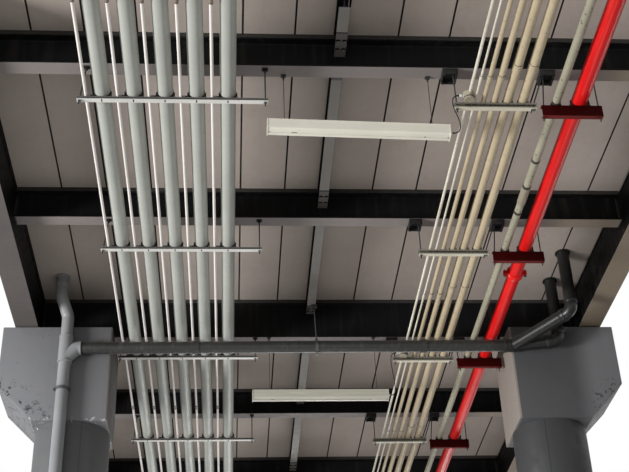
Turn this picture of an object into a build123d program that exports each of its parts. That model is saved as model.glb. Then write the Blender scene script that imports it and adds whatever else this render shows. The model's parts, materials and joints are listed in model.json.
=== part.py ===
"""Pipe bridge: a plank deck on steel beams, two bents of round columns, and pipes hung below the beams.

Millimetres, +Z up. X runs across the bridge, Y along it. The origin lies on the ground, midway between
the columns and midway along the length.
"""
from build123d import *
import math
import os

# Beam grid along the bridge
BAY = 1900
BEAM_COUNT = 7
BENT_BEAMS = (3, 7)
END_STUB = 500

# Columns and their caps
COLUMN_HEIGHT = 6215
COLUMN_DIAMETER = 670
COLUMN_SPACING = 4360
CAP_HEIGHT = 935
CAP_THICKNESS = 670
CAP_OUTER_FACE = 595
CAP_LIP = 15
PAD_THICKNESS = 15
PAD_LENGTH = 460
PAD_EDGE = 20

# Box girders along both sides, and the box beams of the bents
BOX_WIDTH = 210
BOX_DEPTH = 375
GIRDER_OUTSET = 350
END_PLATE = 20

# Rolled cross-beams
BEAM_FLANGE = 120
BEAM_DEPTH = 260
BEAM_FLANGE_THICKNESS = 12
BEAM_WEB = 8

# Strips that the planks bear on
STRIP_HEIGHT = 36
STRIP_EDGE = 30

# Stringer on the centre line and the plates that tie it to the beams
STRINGER_WIDTH = 80
STRINGER_DEPTH = 151
STRINGER_FLANGE = 8
STRINGER_WEB = 6
CLEAT_REACH = 250
CLEAT_THICKNESS = 8

# Deck
PLANK_PITCH = 370
PLANK_JOINT = 10
PLANK_JOINT_OFFSET = 55
PLANK_THICKNESS = 120
PLANK_END_GAP = 10
TOPPING_THICKNESS = 60

# Left rack: large grey pipes with a thin conduit beside each
LEFT_BAR_INNER = 510
LEFT_BAR_LENGTH = 1302
LEFT_BAR_WIDTH = 41
LEFT_BAR_HEIGHT = 21
LEFT_BAR_DROP = 274
GREY_DIAMETER = 110
GREY_COUNT = 5
GREY_PITCH = 214
GREY_INSET = 276
CONDUIT_DIAMETER = 22

# Right rack: six cream pipes, as (distance from the bar's inner end, outer diameter)
RIGHT_BAR_INNER = 775
RIGHT_BAR_LENGTH = 580
RIGHT_BAR_WIDTH = 41
RIGHT_BAR_HEIGHT = 41
RIGHT_BAR_DROP = 291
CREAM_PIPES = ((95, 22), (146, 16), (208, 34), (287, 48), (381, 66), (489, 68))

# Pale pipe and red main, and the channels that carry them beside the right rack
CHANNEL_GAP = 30
CHANNEL_LENGTH = 428
CHANNEL_DEPTH = 92
CHANNEL_FLANGE = 40
CHANNEL_THICKNESS = 6
CHANNEL_DROP = 307
PALE_DIAMETER = 58
PALE_INSET = 109
MAIN_DIAMETER = 114
MAIN_INSET = 281

# Distance that all pipes run on past both ends of the deck, and their joints
PIPE_REACH = 620
SOCKET_WALL = 4
CREAM_SOCKET_LENGTH = 90
CREAM_JOINTS = (-6010, -3110, -210, 2690, 5500)
CREAM_WIDE_STAGGER = -110
CREAM_WIDE_DIAMETER = 60
CONDUIT_SOCKET_LENGTH = 60
CONDUIT_LENGTH = 5880
CONDUIT_FIRST_JOINT = -6680
MAIN_COUPLING_LENGTH = 62
MAIN_COUPLING_WALL = 18
MAIN_JOINT_PITCH = 5800
MAIN_FIRST_JOINT = -3400

# Hangers
ROD_DIAMETER = 10
NUT_DIAMETER = 22
NUT_HEIGHT = 10
HANGER_OFFSET = -20
CLAMP_WIDTH = 36
CLAMP_HEIGHT = 22
ROD_INSET = 20
LEFT_ROD_LEAN = 28
BOX_HANGER_WIDTH = 106
BOX_HANGER_HEIGHT = 50
BOX_HANGER_OUTSET = 5
BOX_HANGER_INSET = 78
BOX_HANGER_INSET_BENT = 30
BOX_ROD_SPREAD = 24

# Light fittings, which hang from two wires and tilt a little where the wires differ
LIGHT_BEAMS = (1, 3, 5, 7)
LIGHT_LENGTH = 1262
LIGHT_WIDTH = 86
LIGHT_HEIGHT = 84
LIGHT_X = 112
LIGHT_X_BENT = 70
LIGHT_WIRE = 433
LIGHT_WIRE_BENT = 560
LIGHT_TILT = 1.7
LIGHT_BACK = 46
LIGHT_BACK_BENT = -92
LIGHT_WIRES_X = (-399, 623)
LIGHT_WIRES_X_BENT = (-400, 594)
LIGHT_WIRE_DIAMETER = 5
LIGHT_CLAMP = 26
LIGHT_CLAMP_HEIGHT = 12

# Round junction box on the thinnest cream pipe at each light, with a connector for the light's cable
JUNCTION_DIAMETER = 80
JUNCTION_BELOW = 26
JUNCTION_HEIGHT = 66
JUNCTION_BACK = 97
LINK_DIAMETER = 16
LINK_LENGTH = 10
CONNECTOR_DIAMETER = 24
CONNECTOR_LENGTH = 18
GLAND_DIAMETER = 18
GLAND_LENGTH = 16
CABLE_DIAMETER = 7.5
CABLE_LEAD = 46

# Corners of a cable between its two straight leads: x, distance in front of the beam's centre line, and
# distance below the top of the rack's bar
CABLE_ROUTE = ((750, 90, 81), (790, 45, 139), (812, 0, 174))
CABLE_ROUTE_BENT = ((742, 97, 74), (752, 96, 163), (762, 95, 253), (768, 93, 339))

# Drains at the first bent, with distances from the columns' centre lines and from the bent's centre line
DRAIN_DIAMETER = 110
DRAIN_COLLAR_WALL = 8
DRAIN_COLLAR_LENGTH = 60
DRAIN_FACE_GAP = 15
DRAIN_BEND = 100
DOWNPIPE_OUT = 70
DOWNPIPE_TOP_OUT = 132
DOWNPIPE_TOP_FRONT = 520
DOWNPIPE_KNEE_DROPS = (200, 356)
DOWNPIPE_FOOT = 150
BRANCH_UP = 117
BRANCH_DOWN = 148
BRANCH_LENGTH = 140
BRANCH_SWEEP = 100
BRANCH_BEND = 80
CROSS_DRAIN_DROP = 263
CROSS_DRAIN_RISE = 20
CROSS_DRAIN_END_IN = 420
CROSS_COLLAR_X = (-1080, 1010)
INLET_IN = 330
INLET_BEND = 70
OUTER_INLET = (100, 970, 55)
INNER_INLET = (92, 470, 12)
BRACKET_FIRST = 700
BRACKET_PITCH = 1500
BRACKET_CLEAR = 800
CAP_BRACKET = 269
BRACKET_WIDTH = 30
BRACKET_WALL = 5
BRACKET_STEM = 24
DRAIN_ROD_X = 25
DRAIN_ROD_FRONT = 265
DRAIN_RING_WIDTH = 26

# Levels and lines that follow from the sizes above
deck_length = (BEAM_COUNT - 1) * BAY + 2 * END_STUB
deck_end = deck_length / 2
pipe_end = deck_end + PIPE_REACH
pipe_run = (-pipe_end, pipe_end)
cap_top = COLUMN_HEIGHT + CAP_HEIGHT
box_bottom = cap_top + PAD_THICKNESS
beam_top = box_bottom + BOX_DEPTH
beam_bottom = beam_top - BEAM_DEPTH
deck_soffit = beam_top + STRIP_HEIGHT
plank_top = deck_soffit + PLANK_THICKNESS
stringer_bottom = deck_soffit - STRINGER_DEPTH
cleat_bottom = stringer_bottom - CLEAT_THICKNESS
column_x = COLUMN_SPACING / 2
girder_inner = column_x + GIRDER_OUTSET
girder_outer = girder_inner + BOX_WIDTH
column_radius = COLUMN_DIAMETER / 2
cap_inner = column_x - column_radius
cap_slope = CAP_HEIGHT - CAP_OUTER_FACE - CAP_LIP
cap_outer = column_x + column_radius + cap_slope
left_bar_top = beam_bottom - LEFT_BAR_DROP
left_bar_span = (-LEFT_BAR_INNER - LEFT_BAR_LENGTH, -LEFT_BAR_INNER)
grey_x = [-LEFT_BAR_INNER - GREY_INSET - GREY_PITCH * place for place in range(GREY_COUNT)]
conduit_x = [x - GREY_PITCH / 2 for x in grey_x]
right_bar_top = beam_bottom - RIGHT_BAR_DROP
right_bar_span = (RIGHT_BAR_INNER, RIGHT_BAR_INNER + RIGHT_BAR_LENGTH)
cream_x = [(RIGHT_BAR_INNER + inset, diameter) for inset, diameter in CREAM_PIPES]
channel_top = beam_bottom - CHANNEL_DROP
channel_start = right_bar_span[1] + CHANNEL_GAP
channel_span = (channel_start, channel_start + CHANNEL_LENGTH)
pale_x = channel_start + PALE_INSET
main_x = channel_start + MAIN_INSET
cross_drain_middle = box_bottom - CROSS_DRAIN_DROP
downpipe_x = -column_x - DOWNPIPE_OUT
cross_drain_end = column_x - CROSS_DRAIN_END_IN
SIDES = {"left": -1, "right": 1}
BENT_NAMES = dict(zip(BENT_BEAMS, ("first_bent", "second_bent")))


def beam_y(number):
    """Place of a cross-beam's centre line along the bridge."""
    return (number - (BEAM_COUNT + 1) / 2) * BAY


beam_numbers = range(1, BEAM_COUNT + 1)
first_bent_y = beam_y(BENT_BEAMS[0])
drain_y = first_bent_y - CAP_THICKNESS / 2 - DRAIN_FACE_GAP - DRAIN_DIAMETER / 2
collar_diameter = DRAIN_DIAMETER + 2 * DRAIN_COLLAR_WALL


def is_bent(number):
    return number in BENT_BEAMS


def underside(number):
    """Level of the bottom face of a cross-beam or bent beam."""
    return box_bottom if is_bent(number) else beam_bottom


def half_width(number):
    """Half the width of a beam's top, along the bridge."""
    return (BOX_WIDTH if is_bent(number) else BEAM_FLANGE) / 2


def block(x_span, y_span, z_span):
    """Box between three pairs of faces."""
    spans = (x_span, y_span, z_span)
    centre = [(low + high) / 2 for low, high in spans]
    return Pos(*centre) * Box(*[high - low for low, high in spans])


def about(centre, size):
    """Pair of faces at equal distances from a centre."""
    return (centre - size / 2, centre + size / 2)


def bar_between(start, end, diameter):
    """Round bar from one point to another."""
    run = Vector(*end) - Vector(*start)
    return Plane(origin=start, z_dir=run) * Cylinder(
        diameter / 2, run.length, align=(Align.CENTER, Align.CENTER, Align.MIN))


def pipe_along(x, z, diameter, y_span):
    """Round pipe parallel to the bridge."""
    return bar_between((x, y_span[0], z), (x, y_span[1], z), diameter)


def ring_along(x, z, inner, wall, y_span):
    """Collar round a pipe that is parallel to the bridge."""
    return pipe_along(x, z, inner + 2 * wall, y_span) - pipe_along(x, z, inner, y_span)


def bent_tube(points, diameter, radii):
    """Round tube through straight runs joined by tangent arcs."""
    path = FilletPolyline(*points, radius=radii)
    section = Plane(origin=path @ 0, z_dir=path % 0) * Circle(diameter / 2)
    return sweep(section, path=path)


def cable_radii(points):
    """Largest arc at each corner of a route that its two runs allow."""
    radii = []
    for before, corner, after in zip(points, points[1:], points[2:]):
        arriving = Vector(*corner) - Vector(*before)
        leaving = Vector(*after) - Vector(*corner)
        half_turn = math.radians(arriving.get_angle(leaving)) / 2
        radii.append(0.45 * min(arriving.length, leaving.length) / math.tan(half_turn))
    return radii


def save(name, solids):
    """Write one node from one solid or a list of solids that stand apart."""
    shapes = solids if isinstance(solids, list) else [solids]
    parts = [solid for shape in shapes for solid in shape.solids()]
    export_step(parts[0] if len(parts) == 1 else Compound(children=parts), f"parts/{name}.step")


def column(side, number):
    centre = (side * column_x, beam_y(number), 0)
    return bar_between(centre, (centre[0], centre[1], COLUMN_HEIGHT), COLUMN_DIAMETER)


def cap(side, number):
    """Column head that is flush inside and flares outwards at 45 degrees under the girder."""
    foot = cap_outer - cap_slope
    outline = [(cap_inner, COLUMN_HEIGHT), (foot, COLUMN_HEIGHT), (foot, COLUMN_HEIGHT + CAP_LIP),
               (cap_outer, cap_top - CAP_OUTER_FACE), (cap_outer, cap_top), (cap_inner, cap_top)]
    face = make_face(Polyline(*[(side * x, z) for x, z in outline], close=True))
    return extrude(Plane.XZ.offset(-beam_y(number)) * face, CAP_THICKNESS / 2, both=True)


def bearing_pads():
    """Pads between the caps and what they carry: each girder and each end of a bent beam."""
    pads = []
    for number in BENT_BEAMS:
        for side in SIDES.values():
            level = (cap_top, box_bottom)
            under_girder = about(side * (girder_inner + girder_outer) / 2, BOX_WIDTH - 2 * PAD_EDGE)
            beam_seat = (cap_inner + PAD_EDGE, cap_inner + PAD_EDGE + PAD_LENGTH)
            under_beam = sorted(side * x for x in beam_seat)
            pads.append(block(under_girder, about(beam_y(number), PAD_LENGTH), level))
            pads.append(block(under_beam, about(beam_y(number), BOX_WIDTH - 2 * PAD_EDGE), level))
    return pads


def girder(side):
    faces = sorted((side * girder_inner, side * girder_outer))
    return block(faces, about(0, deck_length - 2 * END_PLATE), (box_bottom, beam_top))


def girder_end_plates():
    plates = []
    for side in SIDES.values():
        faces = sorted((side * girder_inner, side * girder_outer))
        for end in (-1, 1):
            reach = sorted((end * deck_end, end * (deck_end - END_PLATE)))
            plates.append(block(faces, reach, (box_bottom, beam_top)))
    return plates


def bent_beam(number):
    return block((-girder_inner, girder_inner), about(beam_y(number), BOX_WIDTH), (box_bottom, beam_top))


def rolled_section(width, depth, flange, web):
    """Outline of an I section, centred, with its bottom at zero."""
    outline = Pos(0, depth / 2) * Rectangle(width, depth)
    hollow = Pos((width + web) / 4, depth / 2) * Rectangle((width - web) / 2, depth - 2 * flange)
    return outline - hollow - mirror(hollow, Plane.YZ)


def cross_beam(number):
    section = rolled_section(BEAM_FLANGE, BEAM_DEPTH, BEAM_FLANGE_THICKNESS, BEAM_WEB)
    plane = Plane(origin=(0, beam_y(number), beam_bottom), x_dir=(0, 1, 0), z_dir=(1, 0, 0))
    return extrude(plane * section, girder_inner, both=True)


def bearing_strips():
    """Strips under the planks, along each beam and along each girder."""
    level = (beam_top, deck_soffit)
    strips = [block((-girder_inner, girder_inner), about(beam_y(number), 2 * half_width(number)), level)
              for number in beam_numbers]
    for side in SIDES.values():
        faces = sorted((side * (girder_inner + STRIP_EDGE), side * (girder_outer - STRIP_EDGE)))
        strips.append(block(faces, about(0, deck_length), level))
    return strips


def bay_spans(clearance):
    """Stretches between neighbouring beams and out to both ends, kept clear of each beam's centre."""
    stops = [-deck_end]
    for number in beam_numbers:
        stops += [beam_y(number) - clearance(number), beam_y(number) + clearance(number)]
    stops.append(deck_end)
    return list(zip(stops[::2], stops[1::2]))


def stringer():
    section = rolled_section(STRINGER_WIDTH, STRINGER_DEPTH, STRINGER_FLANGE, STRINGER_WEB)
    lengths = []
    for start, end in bay_spans(half_width):
        plane = Plane(origin=(0, start, stringer_bottom), x_dir=(-1, 0, 0), z_dir=(0, 1, 0))
        lengths.append(extrude(plane * section, end - start))
    return lengths


def stringer_cleats():
    """Plates under the stringer's ends, from each beam's web or side."""
    level = (cleat_bottom, stringer_bottom)
    cleats = []
    for number in beam_numbers:
        seat = half_width(number) if is_bent(number) else BEAM_WEB / 2
        for way in (-1, 1):
            reach = sorted((beam_y(number) + way * seat, beam_y(number) + way * CLEAT_REACH))
            cleats.append(block(about(0, STRINGER_WIDTH), reach, level))
    return cleats


def plank_spans():
    """Widths of the planks across the bridge, cut off at the girders' outer faces."""
    first = math.floor((-girder_outer - PLANK_JOINT_OFFSET) / PLANK_PITCH)
    last = math.ceil((girder_outer - PLANK_JOINT_OFFSET) / PLANK_PITCH)
    spans = []
    for place in range(first, last):
        left = PLANK_JOINT_OFFSET + place * PLANK_PITCH + PLANK_JOINT / 2
        right = left + PLANK_PITCH - PLANK_JOINT
        spans.append((max(left, -girder_outer), min(right, girder_outer)))
    return [span for span in spans if span[1] > span[0]]


def deck_planks(bay):
    """Planks of one bay; those of the outer bays reach the ends of the deck."""
    start = -deck_end if bay == 1 else beam_y(bay) + PLANK_END_GAP / 2
    end = deck_end if bay == BEAM_COUNT - 1 else beam_y(bay + 1) - PLANK_END_GAP / 2
    return [block(span, (start, end), (deck_soffit, plank_top)) for span in plank_spans()]


def deck_topping():
    level = (plank_top, plank_top + TOPPING_THICKNESS)
    return block(about(0, 2 * girder_outer), about(0, deck_length), level)


def grey_pipes():
    level = left_bar_top + GREY_DIAMETER / 2
    return [pipe_along(x, level, GREY_DIAMETER, pipe_run) for x in grey_x]


def thin_conduits():
    level = left_bar_top + CONDUIT_DIAMETER / 2
    return [pipe_along(x, level, CONDUIT_DIAMETER, pipe_run) for x in conduit_x]


def cream_pipes():
    return [pipe_along(x, right_bar_top + diameter / 2, diameter, pipe_run) for x, diameter in cream_x]


def pale_pipe():
    return pipe_along(pale_x, channel_top + PALE_DIAMETER / 2, PALE_DIAMETER, pipe_run)


def red_main():
    return pipe_along(main_x, channel_top + MAIN_DIAMETER / 2, MAIN_DIAMETER, pipe_run)


def joint_places(first, pitch, length):
    """Centres of the joints along a pipe that is laid in lengths."""
    places = []
    place = first
    while place + length / 2 < pipe_end:
        places.append(place)
        place += pitch
    return places


def cream_sockets():
    """Belled ends of the cream pipes beyond each joint; those of the widest pipes come a little sooner."""
    sockets = []
    for x, diameter in cream_x[1:]:
        stagger = CREAM_WIDE_STAGGER if diameter > CREAM_WIDE_DIAMETER else 0
        for mouth in CREAM_JOINTS:
            span = (mouth + stagger, mouth + stagger + CREAM_SOCKET_LENGTH)
            sockets.append(ring_along(x, right_bar_top + diameter / 2, diameter, SOCKET_WALL, span))
    return sockets


def conduit_sockets():
    level = left_bar_top + CONDUIT_DIAMETER / 2
    places = joint_places(CONDUIT_FIRST_JOINT, CONDUIT_LENGTH, CONDUIT_SOCKET_LENGTH)
    return [ring_along(x, level, CONDUIT_DIAMETER, SOCKET_WALL, about(place, CONDUIT_SOCKET_LENGTH))
            for x in conduit_x for place in places]


def main_couplings():
    level = channel_top + MAIN_DIAMETER / 2
    places = joint_places(MAIN_FIRST_JOINT, MAIN_JOINT_PITCH, MAIN_COUPLING_LENGTH)
    return [ring_along(main_x, level, MAIN_DIAMETER, MAIN_COUPLING_WALL, about(place, MAIN_COUPLING_LENGTH))
            for place in places]


def hanger_y(number):
    return beam_y(number) + HANGER_OFFSET


def rack_bars(x_span, width, height, top):
    return [block(x_span, about(hanger_y(number), width), (top - height, top)) for number in beam_numbers]


def channels():
    """Channels with the web towards the near end and both flanges pointing away from it."""
    pieces = []
    for number in beam_numbers:
        web_face = hanger_y(number) - CHANNEL_FLANGE / 2
        outer = block(channel_span, (web_face, web_face + CHANNEL_FLANGE),
                      (channel_top - CHANNEL_DEPTH, channel_top))
        hollow = block(channel_span, (web_face + CHANNEL_THICKNESS, web_face + CHANNEL_FLANGE),
                       (channel_top - CHANNEL_DEPTH + CHANNEL_THICKNESS, channel_top - CHANNEL_THICKNESS))
        pieces.append(outer - hollow)
    return pieces


def hanger_rod(top_point, seat_point):
    """Rod that ends in a nut standing on its seat."""
    x, y, z = seat_point
    nut = bar_between(seat_point, (x, y, z + NUT_HEIGHT), NUT_DIAMETER)
    return bar_between((x, y, z + NUT_HEIGHT / 2), top_point, ROD_DIAMETER) + nut


def clamp_y(number):
    """Line of the small clamps: over the rack's bar, or at the near edge of a wider bent beam."""
    return beam_y(number) - half_width(number) + CLAMP_WIDTH / 2 if is_bent(number) else hanger_y(number)


def clamp_hanger(number, top_x, seat_x, seat_z):
    """Small clamp under a beam with a rod down to a bar's end."""
    level = underside(number)
    y = clamp_y(number)
    clamp = block(about(top_x, CLAMP_WIDTH), about(y, CLAMP_WIDTH), (level - CLAMP_HEIGHT, level))
    return clamp + hanger_rod((top_x, y, level - CLAMP_HEIGHT / 2), (seat_x, hanger_y(number), seat_z))


def left_hangers():
    outer_seat = left_bar_span[0] + ROD_INSET
    inner_seat = left_bar_span[1] - ROD_INSET
    hangers = []
    for number in beam_numbers:
        hangers.append(clamp_hanger(number, outer_seat + LEFT_ROD_LEAN, outer_seat, left_bar_top))
        hangers.append(clamp_hanger(number, inner_seat, inner_seat, left_bar_top))
    return hangers


def box_hanger(number, x, seats):
    """Box bracket under a beam with rods that spread to the ends of one or two bars."""
    level = underside(number)
    bottom = level - BOX_HANGER_HEIGHT
    body = block(about(x, BOX_HANGER_WIDTH), about(beam_y(number), 2 * half_width(number)), (bottom, level))
    y = hanger_y(number)
    for seat_x, seat_z in seats:
        lean = BOX_ROD_SPREAD if seat_x > x else -BOX_ROD_SPREAD
        body += hanger_rod((x + lean, y, bottom + BOX_HANGER_HEIGHT / 2), (seat_x, y, seat_z))
    return body


def right_hangers():
    hangers = []
    for number in beam_numbers:
        cream_left = (right_bar_span[0] + ROD_INSET, right_bar_top)
        cream_right = (right_bar_span[1] - ROD_INSET, right_bar_top)
        channel_left = (channel_span[0] + ROD_INSET, channel_top)
        channel_right = channel_span[1] - ROD_INSET
        hangers.append(box_hanger(number, RIGHT_BAR_INNER - BOX_HANGER_OUTSET, [cream_left]))
        inset = BOX_HANGER_INSET_BENT if is_bent(number) else BOX_HANGER_INSET
        hangers.append(box_hanger(number, channel_start + inset, [cream_right, channel_left]))
        hangers.append(clamp_hanger(number, channel_right, channel_right, channel_top))
    return hangers


def light_frame(number):
    """Middle of a light fitting's top, turned by its tilt."""
    if is_bent(number):
        return Pos(LIGHT_X_BENT, beam_y(number) + LIGHT_BACK_BENT, underside(number) - LIGHT_WIRE_BENT)
    return Pos(LIGHT_X, beam_y(number) + LIGHT_BACK, underside(number) - LIGHT_WIRE) * Rot(0, LIGHT_TILT, 0)


def light_body(number):
    return light_frame(number) * block(about(0, LIGHT_LENGTH), about(0, LIGHT_WIDTH), (-LIGHT_HEIGHT, 0))


def light_wires():
    """Two wires a fitting, each from a small clamp under the beam."""
    wires = []
    for number in LIGHT_BEAMS:
        middle = light_frame(number).position
        level = underside(number)
        for x in LIGHT_WIRES_X_BENT if is_bent(number) else LIGHT_WIRES_X:
            clamp = block(about(x, LIGHT_CLAMP), about(middle.Y, LIGHT_CLAMP),
                          (level - LIGHT_CLAMP_HEIGHT, level))
            wire = bar_between((x, middle.Y, middle.Z - LIGHT_HEIGHT / 2),
                               (x, middle.Y, level - LIGHT_CLAMP_HEIGHT / 2), LIGHT_WIRE_DIAMETER)
            wires.append(clamp + (wire - light_body(number)))
    return wires


def light_entry(number, distance):
    """Point on the axis of a light's cable entry, at a distance from the fitting's end."""
    return (light_frame(number) * Pos(LIGHT_LENGTH / 2 + distance, 0, -LIGHT_HEIGHT / 2)).position


def light_glands():
    return [bar_between(light_entry(number, 0), light_entry(number, GLAND_LENGTH), GLAND_DIAMETER)
            for number in LIGHT_BEAMS]


def junction_boxes():
    """Round boxes that the thinnest cream pipe runs through, each with a connector on one side."""
    x, pipe_diameter = cream_x[0]
    level = right_bar_top + pipe_diameter / 2
    bottom = right_bar_top - JUNCTION_BELOW
    boxes = []
    for number in LIGHT_BEAMS:
        y = beam_y(number) - JUNCTION_BACK
        side = x - JUNCTION_DIAMETER / 2
        body = bar_between((x, y, bottom), (x, y, bottom + JUNCTION_HEIGHT), JUNCTION_DIAMETER)
        body += bar_between((x, y, level), (side - LINK_LENGTH, y, level), LINK_DIAMETER)
        body += bar_between((side - LINK_LENGTH, y, level), (connector_end(), y, level), CONNECTOR_DIAMETER)
        boxes.append(body - pipe_along(x, level, pipe_diameter, about(y, 2 * JUNCTION_DIAMETER)))
    return boxes


def connector_end():
    """Face of a junction box's connector that the cable leaves."""
    return cream_x[0][0] - JUNCTION_DIAMETER / 2 - LINK_LENGTH - CONNECTOR_LENGTH


def light_cable(number):
    """Cable that hangs from a junction box's connector to a light's gland."""
    corners = CABLE_ROUTE_BENT if is_bent(number) else CABLE_ROUTE
    y = beam_y(number)
    level = right_bar_top + cream_x[0][1] / 2
    route = [(x, y - JUNCTION_BACK, level) for x in (connector_end(), connector_end() - CABLE_LEAD)]
    route += [(x, y - front, right_bar_top - drop) for x, front, drop in corners]
    route += [tuple(light_entry(number, GLAND_LENGTH + lead)) for lead in (CABLE_LEAD, 0)]
    radii = cable_radii(route)
    print("cable", number, "radii", [round(radius, 1) for radius in radii])
    return bent_tube(route, CABLE_DIAMETER, radii)


def cross_drain_z(x):
    """Level of the cross drain, which falls gently to the downpipe."""
    share = (x - downpipe_x) / (cross_drain_end - downpipe_x)
    return cross_drain_middle + (share - 1 / 2) * CROSS_DRAIN_RISE


def cross_drain_run(start_x, end_x, diameter):
    """Length of round pipe on the cross drain's line."""
    start, end = [(x, drain_y, cross_drain_z(x)) for x in (start_x, end_x)]
    return bar_between(start, end, diameter)


def drain_downpipe():
    """Downpipe with its offset under the deck and the swept branch that takes the cross drain."""
    upper_knee, lower_knee = DOWNPIPE_KNEE_DROPS
    top_x = -column_x - DOWNPIPE_TOP_OUT
    top_y = first_bent_y - DOWNPIPE_TOP_FRONT
    route = [(top_x, top_y, deck_soffit), (top_x, top_y, deck_soffit - upper_knee),
             (downpipe_x, drain_y, deck_soffit - lower_knee), (downpipe_x, drain_y, DOWNPIPE_FOOT)]
    pipe = bent_tube(route, DRAIN_DIAMETER, [DRAIN_BEND, DRAIN_BEND])
    level = cross_drain_z(downpipe_x)
    body = bar_between((downpipe_x, drain_y, level - BRANCH_DOWN), (downpipe_x, drain_y, level + BRANCH_UP),
                       collar_diameter)
    turn_x = downpipe_x + BRANCH_SWEEP
    mouth_x = downpipe_x + BRANCH_LENGTH
    swept = [(downpipe_x, drain_y, level - BRANCH_SWEEP), (turn_x, drain_y, cross_drain_z(turn_x)),
             (mouth_x, drain_y, cross_drain_z(mouth_x))]
    return pipe + body + bent_tube(swept, collar_diameter, [BRANCH_BEND])


def drain_cross_pipe():
    pipe = cross_drain_run(downpipe_x + BRANCH_LENGTH, cross_drain_end, DRAIN_DIAMETER)
    for x in CROSS_COLLAR_X:
        pipe += cross_drain_run(x - DRAIN_COLLAR_LENGTH / 2, x + DRAIN_COLLAR_LENGTH / 2, collar_diameter)
    return pipe


def drain_inlets():
    """Two inlets from the deck that meet in a branch at the cross drain's upper end."""
    junction_x = column_x - INLET_IN
    junction = (junction_x, drain_y, cross_drain_z(junction_x))
    fitting = cross_drain_run(cross_drain_end, junction_x, collar_diameter)
    for out, front, rise in (OUTER_INLET, INNER_INLET):
        x = column_x + out
        y = first_bent_y - front
        z = cross_drain_z(cross_drain_end) + rise
        fitting += bent_tube([junction, (x, y, z), (x, y, deck_soffit)], DRAIN_DIAMETER, [INLET_BEND])
    return fitting


def drain_supports():
    """Ring brackets from column and cap to the downpipe, and the rod and ring that carry the cross drain."""
    ring_outer = DRAIN_DIAMETER + 2 * BRACKET_WALL
    column_shape = column(SIDES["left"], BENT_BEAMS[0])
    cap_shape = cap(SIDES["left"], BENT_BEAMS[0])
    supports = []
    last = math.floor((COLUMN_HEIGHT - BRACKET_CLEAR - BRACKET_FIRST) / BRACKET_PITCH)
    heights = [BRACKET_FIRST + BRACKET_PITCH * place for place in range(last + 1)]
    heights.append(COLUMN_HEIGHT + CAP_BRACKET)
    for height in heights:
        low, high = about(height, BRACKET_WIDTH)
        ring = bar_between((downpipe_x, drain_y, low), (downpipe_x, drain_y, high), ring_outer)
        reach = (drain_y, first_bent_y - CAP_THICKNESS / 4)
        stem = block(about(downpipe_x, BRACKET_STEM), reach, (low, high))
        pipe = bar_between((downpipe_x, drain_y, low), (downpipe_x, drain_y, high), DRAIN_DIAMETER)
        supports.append(ring + stem - pipe - column_shape - cap_shape)
    ring = cross_drain_run(DRAIN_ROD_X - DRAIN_RING_WIDTH / 2, DRAIN_ROD_X + DRAIN_RING_WIDTH / 2, ring_outer)
    hook = (DRAIN_ROD_X, drain_y, cross_drain_z(DRAIN_ROD_X) + DRAIN_DIAMETER / 2)
    head = (DRAIN_ROD_X, first_bent_y - DRAIN_ROD_FRONT, stringer_bottom)
    nut = bar_between((*head[:2], stringer_bottom - NUT_HEIGHT), head, NUT_DIAMETER)
    rod = nut + bar_between((*head[:2], stringer_bottom - NUT_HEIGHT / 2), hook, ROD_DIAMETER)
    pipe = cross_drain_run(DRAIN_ROD_X - DRAIN_RING_WIDTH, DRAIN_ROD_X + DRAIN_RING_WIDTH, DRAIN_DIAMETER)
    supports.append(ring + rod - pipe)
    return supports


def main():
    os.makedirs("parts", exist_ok=True)
    for number, bent in BENT_NAMES.items():
        for side_name, side in SIDES.items():
            save(f"{bent}_column_{side_name}", column(side, number))
            save(f"{bent}_cap_{side_name}", cap(side, number))
        save(f"{bent}_beam", bent_beam(number))
    for side_name, side in SIDES.items():
        save(f"girder_{side_name}", girder(side))
    for number in beam_numbers:
        if not is_bent(number):
            save(f"cross_beam_{number}", cross_beam(number))
    for bay in range(1, BEAM_COUNT):
        save(f"deck_planks_bay_{bay}", deck_planks(bay))
    save("bearing_pads", bearing_pads())
    save("girder_end_plates", girder_end_plates())
    save("bearing_strips", bearing_strips())
    save("stringer", stringer())
    save("stringer_cleats", stringer_cleats())
    save("deck_topping", deck_topping())
    save("grey_pipes", grey_pipes())
    save("thin_conduits", thin_conduits())
    save("conduit_sockets", conduit_sockets())
    save("left_rack_bars", rack_bars(left_bar_span, LEFT_BAR_WIDTH, LEFT_BAR_HEIGHT, left_bar_top))
    save("left_rack_hangers", left_hangers())
    save("cream_pipes", cream_pipes())
    save("cream_sockets", cream_sockets())
    save("right_rack_bars", rack_bars(right_bar_span, RIGHT_BAR_WIDTH, RIGHT_BAR_HEIGHT, right_bar_top))
    save("right_rack_hangers", right_hangers())
    save("pale_pipe", pale_pipe())
    save("red_main", red_main())
    save("red_main_couplings", main_couplings())
    save("red_main_channels", channels())
    save("light_fittings", [light_body(number) for number in LIGHT_BEAMS])
    save("light_wires", light_wires())
    save("light_glands", light_glands())
    save("junction_boxes", junction_boxes())
    for number in LIGHT_BEAMS:
        save(f"light_cable_{number}", light_cable(number))
    save("drain_downpipe", drain_downpipe())
    save("drain_cross_pipe", drain_cross_pipe())
    save("drain_inlets", drain_inlets())
    save("drain_supports", drain_supports())


main()
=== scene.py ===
import json
import math

import bmesh
import bpy
from bpy.props import FloatProperty, FloatVectorProperty, IntProperty, PointerProperty
from mathutils import Matrix, Vector

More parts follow.
